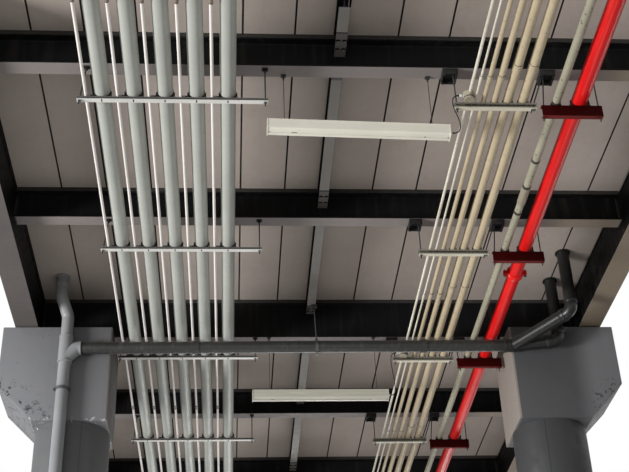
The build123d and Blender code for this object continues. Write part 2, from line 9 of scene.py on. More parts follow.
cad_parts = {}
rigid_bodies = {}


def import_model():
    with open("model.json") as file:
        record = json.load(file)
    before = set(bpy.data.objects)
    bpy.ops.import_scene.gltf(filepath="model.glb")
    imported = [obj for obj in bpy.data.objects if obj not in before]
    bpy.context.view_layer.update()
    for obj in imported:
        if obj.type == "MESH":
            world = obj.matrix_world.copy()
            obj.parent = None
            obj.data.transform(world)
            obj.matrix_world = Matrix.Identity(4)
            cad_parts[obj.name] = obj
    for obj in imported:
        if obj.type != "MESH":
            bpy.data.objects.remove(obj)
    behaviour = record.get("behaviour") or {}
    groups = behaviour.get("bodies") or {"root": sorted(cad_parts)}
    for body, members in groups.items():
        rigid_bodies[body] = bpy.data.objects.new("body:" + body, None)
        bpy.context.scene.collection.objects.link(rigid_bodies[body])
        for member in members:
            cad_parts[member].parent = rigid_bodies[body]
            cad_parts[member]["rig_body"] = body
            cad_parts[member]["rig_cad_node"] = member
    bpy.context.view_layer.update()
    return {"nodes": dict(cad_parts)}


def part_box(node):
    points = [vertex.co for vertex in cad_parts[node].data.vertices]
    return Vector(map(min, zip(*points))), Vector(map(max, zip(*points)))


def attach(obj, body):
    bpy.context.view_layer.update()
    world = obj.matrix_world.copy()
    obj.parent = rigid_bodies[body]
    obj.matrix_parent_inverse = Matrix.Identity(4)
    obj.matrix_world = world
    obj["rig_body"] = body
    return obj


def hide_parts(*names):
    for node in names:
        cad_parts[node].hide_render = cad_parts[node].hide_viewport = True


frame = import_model()

bl_info = {
    "name": "Pipe bridge",
    "version": (1, 0, 0),
    "blender": (4, 5, 0),
    "location": "3D View > Sidebar > Pipe bridge",
    "description": "Finishes a pipe bridge with its fasteners, clamps, fittings, cables and paints",
    "category": "Object",
}


# Sizes and colours

def tone(red, green, blue):
    """Linear colour from the three values of a colour chart, each from 0 to 255."""
    values = [value / 255 for value in (red, green, blue)]
    return tuple(v / 12.92 if v <= 0.04045 else ((v + 0.055) / 1.055) ** 2.4 for v in values)


def size(name, text, value):
    return FloatProperty(name=name, description=text, default=value, min=0.0, subtype="DISTANCE", unit="LENGTH")


def colour(name, text, *value):
    return FloatVectorProperty(name=name, description=text, default=tone(*value), subtype="COLOR",
                               min=0.0, max=1.0)


class BridgeSizes(bpy.types.PropertyGroup):
    """Sizes of the fasteners and trim that the steelwork and the pipes carry."""

    rod: size("Rod", "Diameter of the hanger rods", 0.010)
    nut: size("Nut", "Width across the flats of a hanger nut", 0.019)
    strut_wall: size("Strut wall", "Wall of the slotted struts", 0.0025)
    slot_length: size("Slot length", "Length of a slot in a strut", 0.030)
    slot_width: size("Slot width", "Width of a slot in a strut", 0.009)
    hoop: size("Hoop", "Rod diameter of the hoops over the grey pipes", 0.007)
    thin_hoop: size("Thin hoop", "Rod diameter of the hoops over the cream pipes", 0.006)
    liner: size("Liner", "Width of the rubber liner under a hoop", 0.024)
    plank_arris: size("Plank arris", "Chamfer along the edges of a plank", 0.002)
    cap_arris: size("Cap arris", "Chamfer along the edges of a column cap", 0.016)
    root: size("Root", "Radius between web and flange of a rolled beam", 0.010)
    weld: size("Weld", "Leg of the weld beads", 0.007)
    bolt: size("Bolt", "Width across the flats of the structural bolts", 0.030)
    plank_pitch: size("Plank pitch", "Distance between the joints of the deck planks", 0.370)
    plank_joint: size("Plank joint", "Place of the joint next to the centre line", 0.055)
    sides: IntProperty(name="Sides", description="Faces round a small round part", default=16, min=8, max=48)


class BridgeColours(bpy.types.PropertyGroup):
    """Base colours of the finishes."""

    cap: colour("Cap", "Paint on the column caps", 112, 113, 116)
    # The column colour is the cap paint darkened: painted shade from the caps over the columns.
    column: colour("Column", "Paint on the round columns", 82, 83, 85)
    plank: colour("Plank", "Underside of the concrete planks", 176, 164, 155)
    topping: colour("Topping", "Top of the deck", 150, 147, 140)
    # Upright steel is near black and undersides pale: partly a paler paint underneath, partly painted shade on
    # the uprights and painted light from the ground.
    web: colour("Web", "Paint on upright faces of the steelwork", 15, 15, 16)
    soffit: colour("Soffit", "Paint under the bottom flanges", 134, 127, 124)
    stringer: colour("Stringer", "Underside of the middle stringer", 152, 148, 143)
    grey_pipe: colour("Grey pipe", "Paint on the large grey pipes", 166, 168, 161)
    conduit: colour("Conduit", "Thin conduits", 224, 218, 213)
    coupling: colour("Coupling", "Couplings of the thin conduits", 138, 124, 114)
    coupling_dirt: colour("Coupling dirt", "Dirt on the couplings", 96, 80, 70)
    bar: colour("Bar", "Paint on the left struts", 212, 210, 205)
    cream_bar: colour("Cream bar", "Paint on the right struts", 210, 203, 184)
    cream: colour("Cream", "Cream pipes", 184, 169, 140)
    thin_cream: colour("Thin cream", "The two thinnest of the cream pipes", 224, 220, 206)
    pale: colour("Pale", "Pale pipe", 158, 154, 134)
    red: colour("Red", "Paint on the main", 214, 24, 24)
    maroon: colour("Maroon", "Paint on the channels under the main", 50, 4, 4)
    # The channels' underside colour is painted light from below.
    flange: colour("Flange", "Underside of the channels", 112, 46, 44)
    light: colour("Light", "Paint on the light fittings", 220, 216, 201)
    black: colour("Black", "Hangers, clamps and bands", 20, 19, 19)
    box: colour("Box", "Junction boxes", 158, 149, 130)
    gland: colour("Gland", "Cable connectors", 206, 206, 200)
    # The drain colour is darkened as painted shade and the downpipe colour lightened as painted light from the
    # left.
    drain: colour("Drain", "Cross drain and its inlets", 46, 47, 46)
    downpipe: colour("Downpipe", "Downpipe, which is painted with the columns", 136, 137, 139)
    zinc: colour("Zinc", "Plated rods and nuts", 120, 121, 120)
    rust: colour("Rust", "Rust where paint is gone", 104, 62, 38)
    dust: colour("Dust", "Dust and splashes", 150, 142, 130)


def sizes():
    return bpy.context.scene.bridge_sizes


def colours():
    return bpy.context.scene.bridge_colours


# Modelling

ALONG, UP, ACROSS = (0, 1, 0), (0, 0, 1), (1, 0, 0)
PAIR = (-1, 1)


def above(spot, lift):
    return Vector(spot) + Vector((0, 0, lift))


def mirrored(steps):
    """The other half of an outline that is alike on both sides."""
    return [(radius, -distance) for radius, distance in reversed(steps)]


def clear_selection():
    if bpy.context.object and bpy.context.object.mode != "OBJECT":
        bpy.ops.object.mode_set(mode="OBJECT")
    bpy.ops.object.select_all(action="DESELECT")


def take(*pieces):
    """Select these pieces alone; the first is the active one."""
    clear_selection()
    for piece in pieces:
        piece.select_set(True)
    bpy.context.view_layer.objects.active = pieces[0]


def settle(piece):
    """Move a piece's place, turn and size into its mesh."""
    take(piece)
    bpy.ops.object.transform_apply(location=True, rotation=True, scale=True)
    return piece


def placed(piece, matrix):
    piece.matrix_world = matrix
    return settle(piece)


def started(name):
    """The shape just added, named and settled."""
    bpy.context.object.name = name
    return settle(bpy.context.object)


def start_block(name, low, high):
    """Block between two corners, to be shaped further."""
    low, high = Vector(low), Vector(high)
    clear_selection()
    bpy.ops.mesh.primitive_cube_add(size=1, location=(low + high) / 2, scale=high - low)
    return started(name)


def block_round(name, spot, reach):
    """Block about a point, by its reach to each side, to be shaped further."""
    return start_block(name, Vector(spot) - Vector(reach), Vector(spot) + Vector(reach))


def start_rod(name, start, end, radius, sides):
    """Round bar between two points, to be shaped further."""
    start, end = Vector(start), Vector(end)
    run = end - start
    clear_selection()
    bpy.ops.mesh.primitive_cylinder_add(
        vertices=sides, radius=radius, depth=run.length, location=(start + end) / 2,
        rotation=run.to_track_quat("Z", "Y").to_euler())
    return started(name)


def pick(piece, kind, test):
    """Go into edit mode with only the faces, edges or points chosen by a test."""
    take(piece)
    bpy.ops.object.mode_set(mode="EDIT")
    bpy.ops.mesh.select_mode(type=kind)
    bpy.ops.mesh.select_all(action="DESELECT")
    shape = bmesh.from_edit_mesh(piece.data)
    for part in {"FACE": shape.faces, "EDGE": shape.edges, "VERT": shape.verts}[kind]:
        if test(part):
            part.select_set(True)
    if kind == "VERT":
        shape.select_flush(True)
    bmesh.update_edit_mesh(piece.data)


def pick_all(piece):
    pick(piece, "VERT", lambda vertex: True)


def leave():
    bpy.ops.object.mode_set(mode="OBJECT")


def middle(part):
    return sum((vertex.co for vertex in part.verts), Vector()) / len(part.verts)


def extrude_by(offset):
    bpy.ops.mesh.extrude_region_move(TRANSFORM_OT_translate={"value": tuple(offset)})


def sink(piece, test, margin, offset):
    """Frame the chosen faces with a margin and push what is inside it."""
    pick(piece, "FACE", test)
    bpy.ops.mesh.inset(thickness=margin)
    extrude_by(offset)
    leave()


def modify(piece, kind, **settings):
    """Add a modifier with these settings and apply it."""
    take(piece)
    made = piece.modifiers.new(kind.title(), kind)
    for key, value in settings.items():
        setattr(made, key, value)
    bpy.ops.object.modifier_apply(modifier=made.name)
    return piece


def soften(piece, width, segments=2, angle=30):
    """Round the sharp edges of a piece."""
    return modify(piece, "BEVEL", width=width, segments=segments, limit_method="ANGLE",
                  angle_limit=math.radians(angle), harden_normals=False)


def join(name, pieces):
    """One piece from several, in one mesh."""
    take(*pieces)
    if len(pieces) > 1:
        bpy.ops.object.join()
    bpy.context.object.name = name
    return bpy.context.object


def carve(piece, *cutters):
    """Cut shapes out of a piece."""
    for cutter in cutters:
        modify(piece, "BOOLEAN", operation="DIFFERENCE", object=cutter, solver="EXACT")
        bpy.data.objects.remove(cutter)
    return piece


def repeat(name, master, offsets):
    """The same shape at many places, each with its own mesh, joined; the master itself is used up."""
    made = []
    for offset in offsets:
        twin = master.copy()
        twin.data = master.data.copy()
        bpy.context.scene.collection.objects.link(twin)
        made.append(placed(twin, Matrix.Translation(offset) @ master.matrix_world))
    bpy.data.objects.remove(master)
    return join(name, made)


def sew(piece):
    """Merge doubled points, close what is open, and turn all faces outwards."""
    pick_all(piece)
    bpy.ops.mesh.remove_doubles(threshold=0.00002)
    bpy.ops.mesh.select_all(action="SELECT")
    bpy.ops.mesh.fill_holes(sides=0)
    bpy.ops.mesh.select_all(action="SELECT")
    bpy.ops.mesh.normals_make_consistent(inside=False)
    leave()
    return piece


def turned(name, outline, start, direction, sides=None, ring=False):
    """Turned part: a circle carried along an axis through (radius, distance) steps; a ring closes on itself."""
    start, direction = Vector(start), Vector(direction).normalized()
    steps = list(outline) + ([outline[0]] if ring else [])
    radius, distance = steps[0]
    clear_selection()
    bpy.ops.mesh.primitive_circle_add(
        vertices=sides or sizes().sides, radius=radius, location=start + direction * distance,
        rotation=direction.to_track_quat("Z", "Y").to_euler())
    piece = started(name)
    pick_all(piece)
    for wide, far in steps[1:]:
        extrude_by(direction * (far - distance))
        factor = wide / radius
        bpy.ops.transform.resize(value=(factor,) * 3, center_override=start + direction * far)
        radius, distance = wide, far
    leave()
    return sew(piece)


def band(name, centre, direction, inner, outer, low, high, sides=None):
    """Flat ring about an axis, between two radii and two distances from its centre."""
    outline = [(inner, low), (outer, low), (outer, high), (inner, high)]
    return turned(name, outline, centre, direction, sides, ring=True)


def hoop(name, centre, radius, foot_level, rod):
    """Rod bent over a pipe that runs along the bridge, with two legs down to a level."""
    clear_selection()
    bpy.ops.mesh.primitive_circle_add(vertices=8, radius=rod / 2,
                                      location=(centre.x - radius, centre.y, foot_level))
    piece = started(name)
    pick_all(piece)
    rise = Vector((0, 0, centre.z - foot_level))
    extrude_by(rise)
    bpy.ops.mesh.spin(steps=14, angle=math.pi, center=centre, axis=ALONG)
    extrude_by(-rise)
    leave()
    return sew(piece)


def nut(name, centre, width, height):
    """Hexagon nut with chamfered corners, on a washer, with its axis upright."""
    centre = Vector(centre)
    body = start_rod(name, centre, centre + Vector((0, 0, height)), width / math.sqrt(3), 6)
    pick(body, "FACE", lambda face: abs(face.normal.z) > 0.9)
    bpy.ops.mesh.inset(thickness=width * 0.08, depth=width * 0.05, use_individual=True)
    leave()
    return join(name, [body, band(name, centre, UP, width * 0.3, width * 0.85, -0.002, 0)])


def nuts_beside(name, spot, reach, width, height):
    """Two nuts, one to the left and one to the right of a point."""
    return [nut(name, Vector(spot) + Vector((side * reach, 0, 0)), width, height) for side in PAIR]


def tipped_nut(name, spot, angle, width, height):
    """Nut with its axis tipped about X."""
    return placed(nut(name, (0, 0, 0), width, height), Matrix.Translation(spot) @ Matrix.Rotation(angle, 4, "X"))


class Solid:
    """One solid of a CAD node: its box, the middles of its lowest and highest faces, and of its two ends."""

    def __init__(self, points):
        self.low, self.high, self.middle = self.span(points)
        self.size = self.high - self.low
        self.radius = self.size.x / 2
        self.foot = self.span([p for p in points if p.z < self.low.z + 0.002])[2]
        self.head = self.span([p for p in points if p.z > self.high.z - 0.002])[2]
        self.left = self.span([p for p in points if p.x < self.low.x + 0.006])[2]
        self.right = self.span([p for p in points if p.x > self.high.x - 0.006])[2]

    @staticmethod
    def span(points):
        low = Vector([min(p[i] for p in points) for i in range(3)])
        high = Vector([max(p[i] for p in points) for i in range(3)])
        return low, high, (low + high) / 2


def whole(node):
    """A CAD node taken as one solid by its box."""
    return Solid(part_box(node))


def solids(node):
    """The solids of a CAD node, from the near end to the far end and from left to right."""
    shape = bmesh.new()
    shape.from_mesh(frame["nodes"][node].data)
    bmesh.ops.remove_doubles(shape, verts=shape.verts, dist=0.00001)
    found, left = [], set(shape.verts)
    while left:
        waiting = [left.pop()]
        points = []
        while waiting:
            vertex = waiting.pop()
            points.append(vertex.co.copy())
            near = {edge.other_vert(vertex) for edge in vertex.link_edges} & left
            left -= near
            waiting.extend(near)
        found.append(Solid(points))
    shape.free()
    return sorted(found, key=lambda solid: (round(solid.middle.y, 1), solid.middle.x))


def offsets_from(first, places):
    return [place.middle - first.middle for place in places]


def rack_offsets(bars, pipes):
    """Offsets from the first bar's first pipe to every pipe on every bar."""
    return [Vector((pipe.middle.x - pipes[0].middle.x, bar.middle.y - bars[0].middle.y, 0))
            for bar in bars for pipe in pipes]


def nodes_with(text):
    return [name for name in frame["nodes"] if text in name]


def dressed_copy(name, node):
    """Merged copy of a CAD node to shape further."""
    made = frame["nodes"][node].copy()
    made.data = made.data.copy()
    made.parent = None
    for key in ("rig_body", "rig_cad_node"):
        if key in made:
            del made[key]
    bpy.context.scene.collection.objects.link(made)
    made.name = name
    pick_all(made)
    bpy.ops.mesh.remove_doubles(threshold=0.00002)
    bpy.ops.mesh.select_all(action="SELECT")
    bpy.ops.mesh.dissolve_limited(angle_limit=math.radians(1))
    bpy.ops.mesh.customdata_custom_splitnormals_clear()
    leave()
    return made


def finish_piece(piece, slot, finish, *nodes):
    """Give a piece its finish and its place on the bridge, and hide the CAD nodes it stands for."""
    settle(piece)
    bpy.ops.object.shade_smooth_by_angle(angle=math.radians(38))
    piece.data.materials.clear()
    piece.data.materials.append(bpy.data.materials[finish])
    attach(piece, "root")
    if nodes:
        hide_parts(*nodes)
    return piece


# Finishes

def shader_node(tree, kind, inputs=None, **settings):
    made = tree.nodes.new(kind)
    for key, value in settings.items():
        setattr(made, key, value)
    for key, value in (inputs or {}).items():
        if isinstance(value, bpy.types.NodeSocket):
            tree.links.new(value, made.inputs[key])
        else:
            made.inputs[key].default_value = value
    return made


def calc(tree, operation, *values):
    """Result of a math node on numbers and sockets."""
    return shader_node(tree, "ShaderNodeMath", dict(enumerate(values)), operation=operation).outputs[0]


def object_place(tree):
    return tree.nodes.new("ShaderNodeTexCoord").outputs["Object"]


def mapped(tree, value, low, high):
    """0 below low, 1 above high, smooth between."""
    return shader_node(tree, "ShaderNodeMapRange", {"Value": value, "From Min": low, "From Max": high},
                       interpolation_type="SMOOTHSTEP").outputs["Result"]


def noise(tree, vector, scale, detail=3.0, rough=0.55):
    return shader_node(tree, "ShaderNodeTexNoise", {"Vector": vector, "Scale": scale, "Detail": detail,
                                                    "Roughness": rough}).outputs["Fac"]


def new_group(name, inputs, *outputs):
    """Empty node group with its inputs by their usual values, and number outputs."""
    tree = bpy.data.node_groups.new(name, "ShaderNodeTree")
    for key, value in inputs.items():
        kind = "NodeSocketFloat" if isinstance(value, float) else "NodeSocketVector"
        tree.interface.new_socket(key, in_out="INPUT", socket_type=kind).default_value = value
    for key in outputs:
        tree.interface.new_socket(key, in_out="OUTPUT", socket_type="NodeSocketFloat")
    return tree, tree.nodes.new("NodeGroupInput").outputs, tree.nodes.new("NodeGroupOutput").inputs


def make_variation_group():
    """Patches, small mottling, streaks and fine grain, stretched as the surface needs."""
    tree, given, result = new_group("Surface variation", {"Scale": 1.0, "Stretch": (1.0, 1.0, 1.0)},
                                    "Patches", "Mottle", "Streaks", "Grain")
    where = object_place(tree)
    drawn = shader_node(tree, "ShaderNodeVectorMath", {0: where, 1: given["Stretch"]}, operation="MULTIPLY")
    for key, vector, finer, detail, rough, low, high in (
            ("Patches", where, 1.0, 3.0, 0.55, 0.32, 0.68), ("Mottle", where, 11.0, 4.0, 0.65, 0.3, 0.7),
            ("Streaks", drawn.outputs["Vector"], 14.0, 2.0, 0.55, 0.48, 0.78)):
        blotches = noise(tree, vector, calc(tree, "MULTIPLY", given["Scale"], finer), detail, rough)
        tree.links.new(mapped(tree, blotches, low, high), result[key])
    grain = noise(tree, where, calc(tree, "MULTIPLY", given["Scale"], 90.0), 2.0, 0.7)
    tree.links.new(grain, result["Grain"])


def make_facing_group():
    """Masks of the faces that look down, of those that look up, and of upright and sloping ones."""
    tree, _, result = new_group("Facing", {}, "Down", "Up", "Side")
    normal = tree.nodes.new("ShaderNodeNewGeometry").outputs["Normal"]
    upright = shader_node(tree, "ShaderNodeSeparateXYZ", {0: normal}).outputs["Z"]
    level = mapped(tree, calc(tree, "ABSOLUTE", upright), 0.75, 0.95)
    tree.links.new(mapped(tree, calc(tree, "MULTIPLY", upright, -1.0), 0.45, 0.85), result["Down"])
    tree.links.new(mapped(tree, upright, 0.45, 0.85), result["Up"])
    tree.links.new(calc(tree, "SUBTRACT", 1.0, level), result["Side"])


def make_chips_group():
    """Ragged patches where paint has gone; Amount from 0 to 1 says how much of the surface."""
    tree, given, result = new_group("Chips", {"Scale": 20.0, "Amount": 0.2}, "Mask")
    rough = noise(tree, object_place(tree), given["Scale"], 6.0, 0.7)
    low = calc(tree, "SUBTRACT", 0.78, calc(tree, "MULTIPLY", given["Amount"], 0.4))
    tree.links.new(mapped(tree, rough, low, calc(tree, "ADD", low, 0.02)), result["Mask"])


def make_pits_group():
    """Air holes of cast concrete: scattered round pits of mixed size."""
    tree, given, result = new_group("Pits", {"Scale": 30.0, "Share": 0.3}, "Mask")
    cells = shader_node(tree, "ShaderNodeTexVoronoi",
                        {"Vector": object_place(tree), "Scale": given["Scale"]}).outputs
    chance = shader_node(tree, "ShaderNodeSeparateColor", {0: cells["Color"]}).outputs[0]
    chosen = calc(tree, "LESS_THAN", chance, given["Share"])
    hole = mapped(tree, calc(tree, "SUBTRACT", 0.30, cells["Distance"]), 0.0, 0.12)
    tree.links.new(calc(tree, "MULTIPLY", hole, chosen), result["Mask"])


class Finish:
    """One material under construction: a colour that layers are laid over, then the shader."""

    def __init__(self, name, base, scale=1.0, stretch=(1.0, 1.0, 0.07)):
        material = bpy.data.materials.new(name)
        material.use_nodes = True
        self.tree = material.node_tree
        self.where = object_place(self.tree)
        self.masks = {**self.group("Surface variation", Scale=scale, Stretch=stretch), **self.group("Facing")}
        self.colour = self.tree.nodes.new("ShaderNodeRGB").outputs[0]
        self.colour.default_value = (*base, 1.0)

    def group(self, name, **values):
        made = shader_node(self.tree, "ShaderNodeGroup", values, node_tree=bpy.data.node_groups[name])
        return {socket.name: socket for socket in made.outputs}

    def chips(self, scale, amount):
        return self.group("Chips", Scale=scale, Amount=amount)["Mask"]

    def pits(self, scale, share):
        return self.group("Pits", Scale=scale, Share=share)["Mask"]

    def place(self, axis):
        return shader_node(self.tree, "ShaderNodeSeparateXYZ", {0: self.where}).outputs[axis]

    def calc(self, operation, *values):
        return calc(self.tree, operation, *values)

    def product(self, *masks):
        """Masks and shares multiplied; a name stands for a mask of the variation or of the facing."""
        result, *others = [self.masks[mask] if isinstance(mask, str) else mask for mask in masks]
        for other in others:
            result = self.calc("MULTIPLY", result, other)
        return result

    def below(self, value, low, high):
        """1 where a value is below low, 0 above high."""
        return self.calc("SUBTRACT", 1.0, mapped(self.tree, value, low, high))

    def band(self, axis, low, high, soft=0.01):
        """Mask of what lies between two places along an axis."""
        place = self.place(axis)
        return self.product(mapped(self.tree, place, low - soft, low + soft),
                            self.below(place, high - soft, high + soft))

    def lay(self, tint, *masks):
        """Lay a colour over what is there, where the masks say."""
        made = shader_node(self.tree, "ShaderNodeMix", data_type="RGBA")
        self.tree.links.new(self.product(*masks), made.inputs["Factor"])
        self.tree.links.new(self.colour, made.inputs["A"])
        made.inputs["B"].default_value = (*tint, 1.0)
        self.colour = made.outputs["Result"]

    def done(self, rough, spread=0.15, bump=0.2, depth=0.001, height=None, metal=0.0, coat=0.0, coat_rough=0.1,
             shine=0.5):
        """Join colour, roughness and relief to the shader."""
        span = shader_node(self.tree, "ShaderNodeMapRange", {
            "Value": self.masks["Mottle"], "To Min": rough - spread / 2, "To Max": rough + spread / 2})
        relief = shader_node(self.tree, "ShaderNodeBump", {
            "Strength": bump, "Distance": depth, "Height": height or self.masks["Grain"]})
        shader = self.tree.nodes["Principled BSDF"].inputs
        for key, socket in (("Base Color", self.colour), ("Roughness", span.outputs["Result"]),
                            ("Normal", relief.outputs["Normal"])):
            self.tree.links.new(socket, shader[key])
        for key, value in (("Metallic", metal), ("Specular IOR Level", shine), ("Coat Weight", coat),
                           ("Coat Roughness", coat_rough)):
            shader[key].default_value = value


def darker(value, share):
    return tuple(part * share for part in value)


def toward(value, other, share):
    return tuple(a + (b - a) * share for a, b in zip(value, other))


LENGTHWISE = (1.0, 0.05, 1.0)
CROSSWISE = (0.08, 1.0, 1.0)
MID_GREY = (0.5, 0.5, 0.5)
RUBBER = (0.02, 0.02, 0.02)


def make_column_paint(name, tint):
    """Masonry paint on cast concrete: worn at the foot of the caps, painted shade on the right-hand caps and
    columns and on the left cap's inner face, dusty at the ground.
    """
    low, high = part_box("first_bent_cap_left")
    outer, inner = -low.x, -high.x
    finish = Finish(name, tint, 0.8)
    finish.lay(darker(tint, 0.84), "Patches", 0.6)
    finish.lay(darker(tint, 0.7), "Streaks", 0.2)
    finish.lay(toward(tint, colours().dust, 0.4), "Mottle", 0.16)
    pits = finish.pits(38.0, 0.03)
    finish.lay(darker(tint, 0.35), pits, 0.6)
    reach = finish.calc("SUBTRACT", finish.place("Z"), finish.calc("ABSOLUTE", finish.place("X")))
    slope = low.z - outer + 0.32
    edge = finish.product(finish.below(reach, slope, slope + 0.42), finish.band("Z", low.z, low.z + 0.4, 0.06))
    holes = finish.chips(24.0, 0.52)
    left = finish.band("X", -outer - 0.2, 0.0, 0.1)
    for side in (left, finish.band("X", outer - 0.3, outer, 0.04)):
        finish.lay(darker(tint, 0.1), holes, edge, side)
    foot = finish.band("Z", low.z - 0.01, low.z + 0.03, 0.012)
    finish.lay((0.55, 0.55, 0.55), finish.chips(14.0, 0.5), left, foot)
    # Painted shade: the right-hand caps and columns are darkened.
    finish.lay(darker(tint, 0.3), finish.band("X", 0.5, outer - 0.34, 0.12), 0.85)
    finish.lay(colours().dust, finish.band("Z", -0.1, 0.35, 0.25), 0.5)
    between = finish.product(finish.band("X", -inner - 0.02, inner + 0.02, 0.005),
                             finish.band("Z", low.z, high.z))
    finish.lay(toward(tint, (0.36, 0.29, 0.23), 0.6), between, 0.7)
    # Painted shade on the left cap's inner face, which faces away from the light.
    painted_shade_inner_face = finish.band("X", -inner - 0.02, -inner + 0.02)
    finish.lay(darker(tint, 0.3), between, left, "Side", painted_shade_inner_face, 0.75)
    finish.done(0.62, 0.2, 0.3, 0.002, finish.calc("SUBTRACT", finish.masks["Grain"], pits), shine=0.35)


def make_plank_concrete(name, tint, broom):
    """Concrete that differs a little from plank to plank, brushed on top or dark at its sides."""
    measures = sizes()
    finish = Finish(name, tint, 1.6, (1.0, 0.12, 1.0))
    shifted = finish.calc("SUBTRACT", finish.place("X"), measures.plank_joint)
    number = finish.calc("FLOOR", finish.calc("DIVIDE", shifted, measures.plank_pitch))
    chance = shader_node(finish.tree, "ShaderNodeTexWhiteNoise", {"W": number}, noise_dimensions="1D")
    finish.lay(darker(tint, 0.84), chance.outputs["Value"], 0.4)
    finish.lay(darker(tint, 0.80), "Patches", 0.5)
    finish.lay(toward(tint, (0.30, 0.22, 0.18), 0.5), "Streaks", 0.3)
    finish.lay(toward(tint, MID_GREY, 0.4), "Mottle", 0.2)
    pits = finish.pits(75.0, 0.05)
    finish.lay(darker(tint, 0.5), pits, 0.5)
    finish.lay(darker(tint, 0.8), finish.chips(2.2, 0.34), 0.3)
    if broom:
        lines = shader_node(finish.tree, "ShaderNodeTexWave", {
            "Vector": finish.where, "Scale": 22.0, "Distortion": 2.5, "Detail": 2.0}, bands_direction="Y")
        height = finish.calc("ADD", finish.masks["Grain"], finish.product(lines.outputs["Fac"], 0.8))
        finish.lay(darker(tint, 0.75), "Up", "Patches", 0.3)
    else:
        height = finish.calc("SUBTRACT", finish.masks["Grain"], pits)
        finish.lay(darker(tint, 0.02), "Side", 0.96)
        finish.lay(darker(tint, 0.3), "Up", 0.9)
    finish.done(0.85, 0.12, 0.4, 0.002, height, shine=0.25)


def make_steel_paint(name, upright, under, node):
    """Beam paint: black on upright faces, pale under the bottom flange, partly painted shade and painted light,
    rust specks, and dust on ledges.
    """
    tints = colours()
    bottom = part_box(node)[0].z
    finish = Finish(name, upright, 1.4)
    finish.lay(darker(upright, 0.6), "Patches", 0.5)
    finish.lay(toward(upright, tints.dust, 0.12), "Streaks", 0.25)
    # Partly painted light: the underside of the bottom flange is paler, as lit from the ground.
    pale = finish.product("Down", finish.band("Z", bottom - 0.05, bottom + 0.02, 0.004))
    finish.lay(under, pale)
    finish.lay(darker(under, 0.72), pale, "Patches", 0.55)
    finish.lay(darker(under, 0.8), pale, "Mottle", 0.3)
    finish.lay(toward(under, (0.40, 0.30, 0.17), 0.45), pale, finish.band("X", 1.9, 4.0, 0.1), 0.7)
    finish.lay(tints.dust, "Up", 0.5)
    finish.lay(tints.rust, finish.chips(17.0, 0.22), 0.4)
    finish.done(0.55, 0.15, 0.2, 0.001, shine=0.12)


def make_pipe_paint(name, tint, shade, rough, gloss=0.0, scuff=0.2, shine=0.4, specks=0.0, thin=None):
    """Painted or plastic pipe along the bridge: lengthwise streaks, dust on top, scuffs."""
    tints = colours()
    finish = Finish(name, tint, 2.2, LENGTHWISE)
    if thin is not None:
        finish.lay(tints.thin_cream, finish.band("X", thin - 0.02, thin + 0.085, 0.002))
    finish.lay(shade, "Patches", 0.45)
    finish.lay(darker(tint, 0.70), "Streaks", 0.32)
    finish.lay(toward(tint, shade, 0.8), "Mottle", 0.3)
    finish.lay(tints.dust, "Up", 0.35)
    finish.lay(darker(tint, 0.45), finish.chips(26.0, scuff), 0.5)
    if specks:
        finish.lay(toward(darker(tint, 0.25), tints.rust, 0.2), finish.pits(30.0, 0.26), specks)
    finish.done(rough, 0.15, 0.12, 0.0008, coat=gloss, coat_rough=0.12, shine=shine)


def make_channel_paint(name, tint):
    """Dark paint of the channels, with painted light from below on the undersides, and dusty on top."""
    finish = Finish(name, tint, 5.0, CROSSWISE)
    finish.lay(darker(tint, 0.5), "Patches", 0.45)
    # Painted light on the downward faces.
    finish.lay(colours().flange, "Down", 0.8)
    finish.lay(colours().dust, "Up", 0.35)
    finish.lay(darker(tint, 0.3), finish.chips(40.0, 0.2), 0.6)
    finish.done(0.6, 0.15, 0.12, 0.0008, shine=0.04)


def make_hardware_finish(name, tint, rough, metal, rust=0.3, thread=False, shine=0.5):
    """Plated or blackened small steel; threads show as fine turns."""
    finish = Finish(name, tint, 6.0)
    finish.lay(darker(tint, 0.55), "Patches", 0.5)
    finish.lay(toward(tint, MID_GREY, 0.2), "Mottle", 0.2)
    finish.lay(colours().rust, finish.chips(60.0, rust), 0.5)
    height = None
    if thread:
        height = shader_node(finish.tree, "ShaderNodeTexWave", {"Vector": finish.where, "Scale": 105.0},
                             bands_direction="Z").outputs["Fac"]
    finish.done(rough, 0.2, 0.5 if thread else 0.2, 0.0006, height, metal, shine=shine)


def make_strut_paint(name, tint, sides, node):
    """Strut paint: pale under the bar, darker on its upright faces and inside as painted shade with some dirt."""
    tints = colours()
    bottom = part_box(node)[0].z
    finish = Finish(name, tint, 5.0, CROSSWISE)
    finish.lay(darker(tint, 0.78), "Patches", 0.5)
    finish.lay(toward(tint, tints.dust, 0.7), "Streaks", 0.35)
    finish.lay(tints.dust, "Up", 0.6)
    finish.lay(tints.rust, finish.chips(40.0, 0.28), 0.8)
    under = finish.product("Down", finish.band("Z", bottom - 0.02, bottom + 0.001, 0.0005))
    # Painted shade with some dirt: everything but the underside is darkened.
    finish.lay(darker(tint, sides), finish.calc("SUBTRACT", 1.0, under), 0.94)
    finish.done(0.45, 0.2, 0.15, 0.0006, shine=0.3)


def make_fitting_paint(name, tint):
    """White enamel of the light housings, with painted shade on the lights further in under the deck."""
    finish = Finish(name, tint, 4.0, (0.05, 1.0, 1.0))
    finish.lay(darker(tint, 0.86), "Patches", 0.5)
    # Painted shade on the light fittings further in under the deck.
    finish.lay(darker(tint, 0.5), finish.band("Y", -2.9, 9.0, 0.5), 0.85)
    finish.lay(toward(tint, (0.62, 0.58, 0.42), 0.6), "Streaks", 0.3)
    finish.lay(colours().dust, "Up", 0.7)
    finish.lay(darker(tint, 0.5), finish.chips(50.0, 0.2), 0.5)
    finish.done(0.35, 0.12, 0.1, 0.0005)


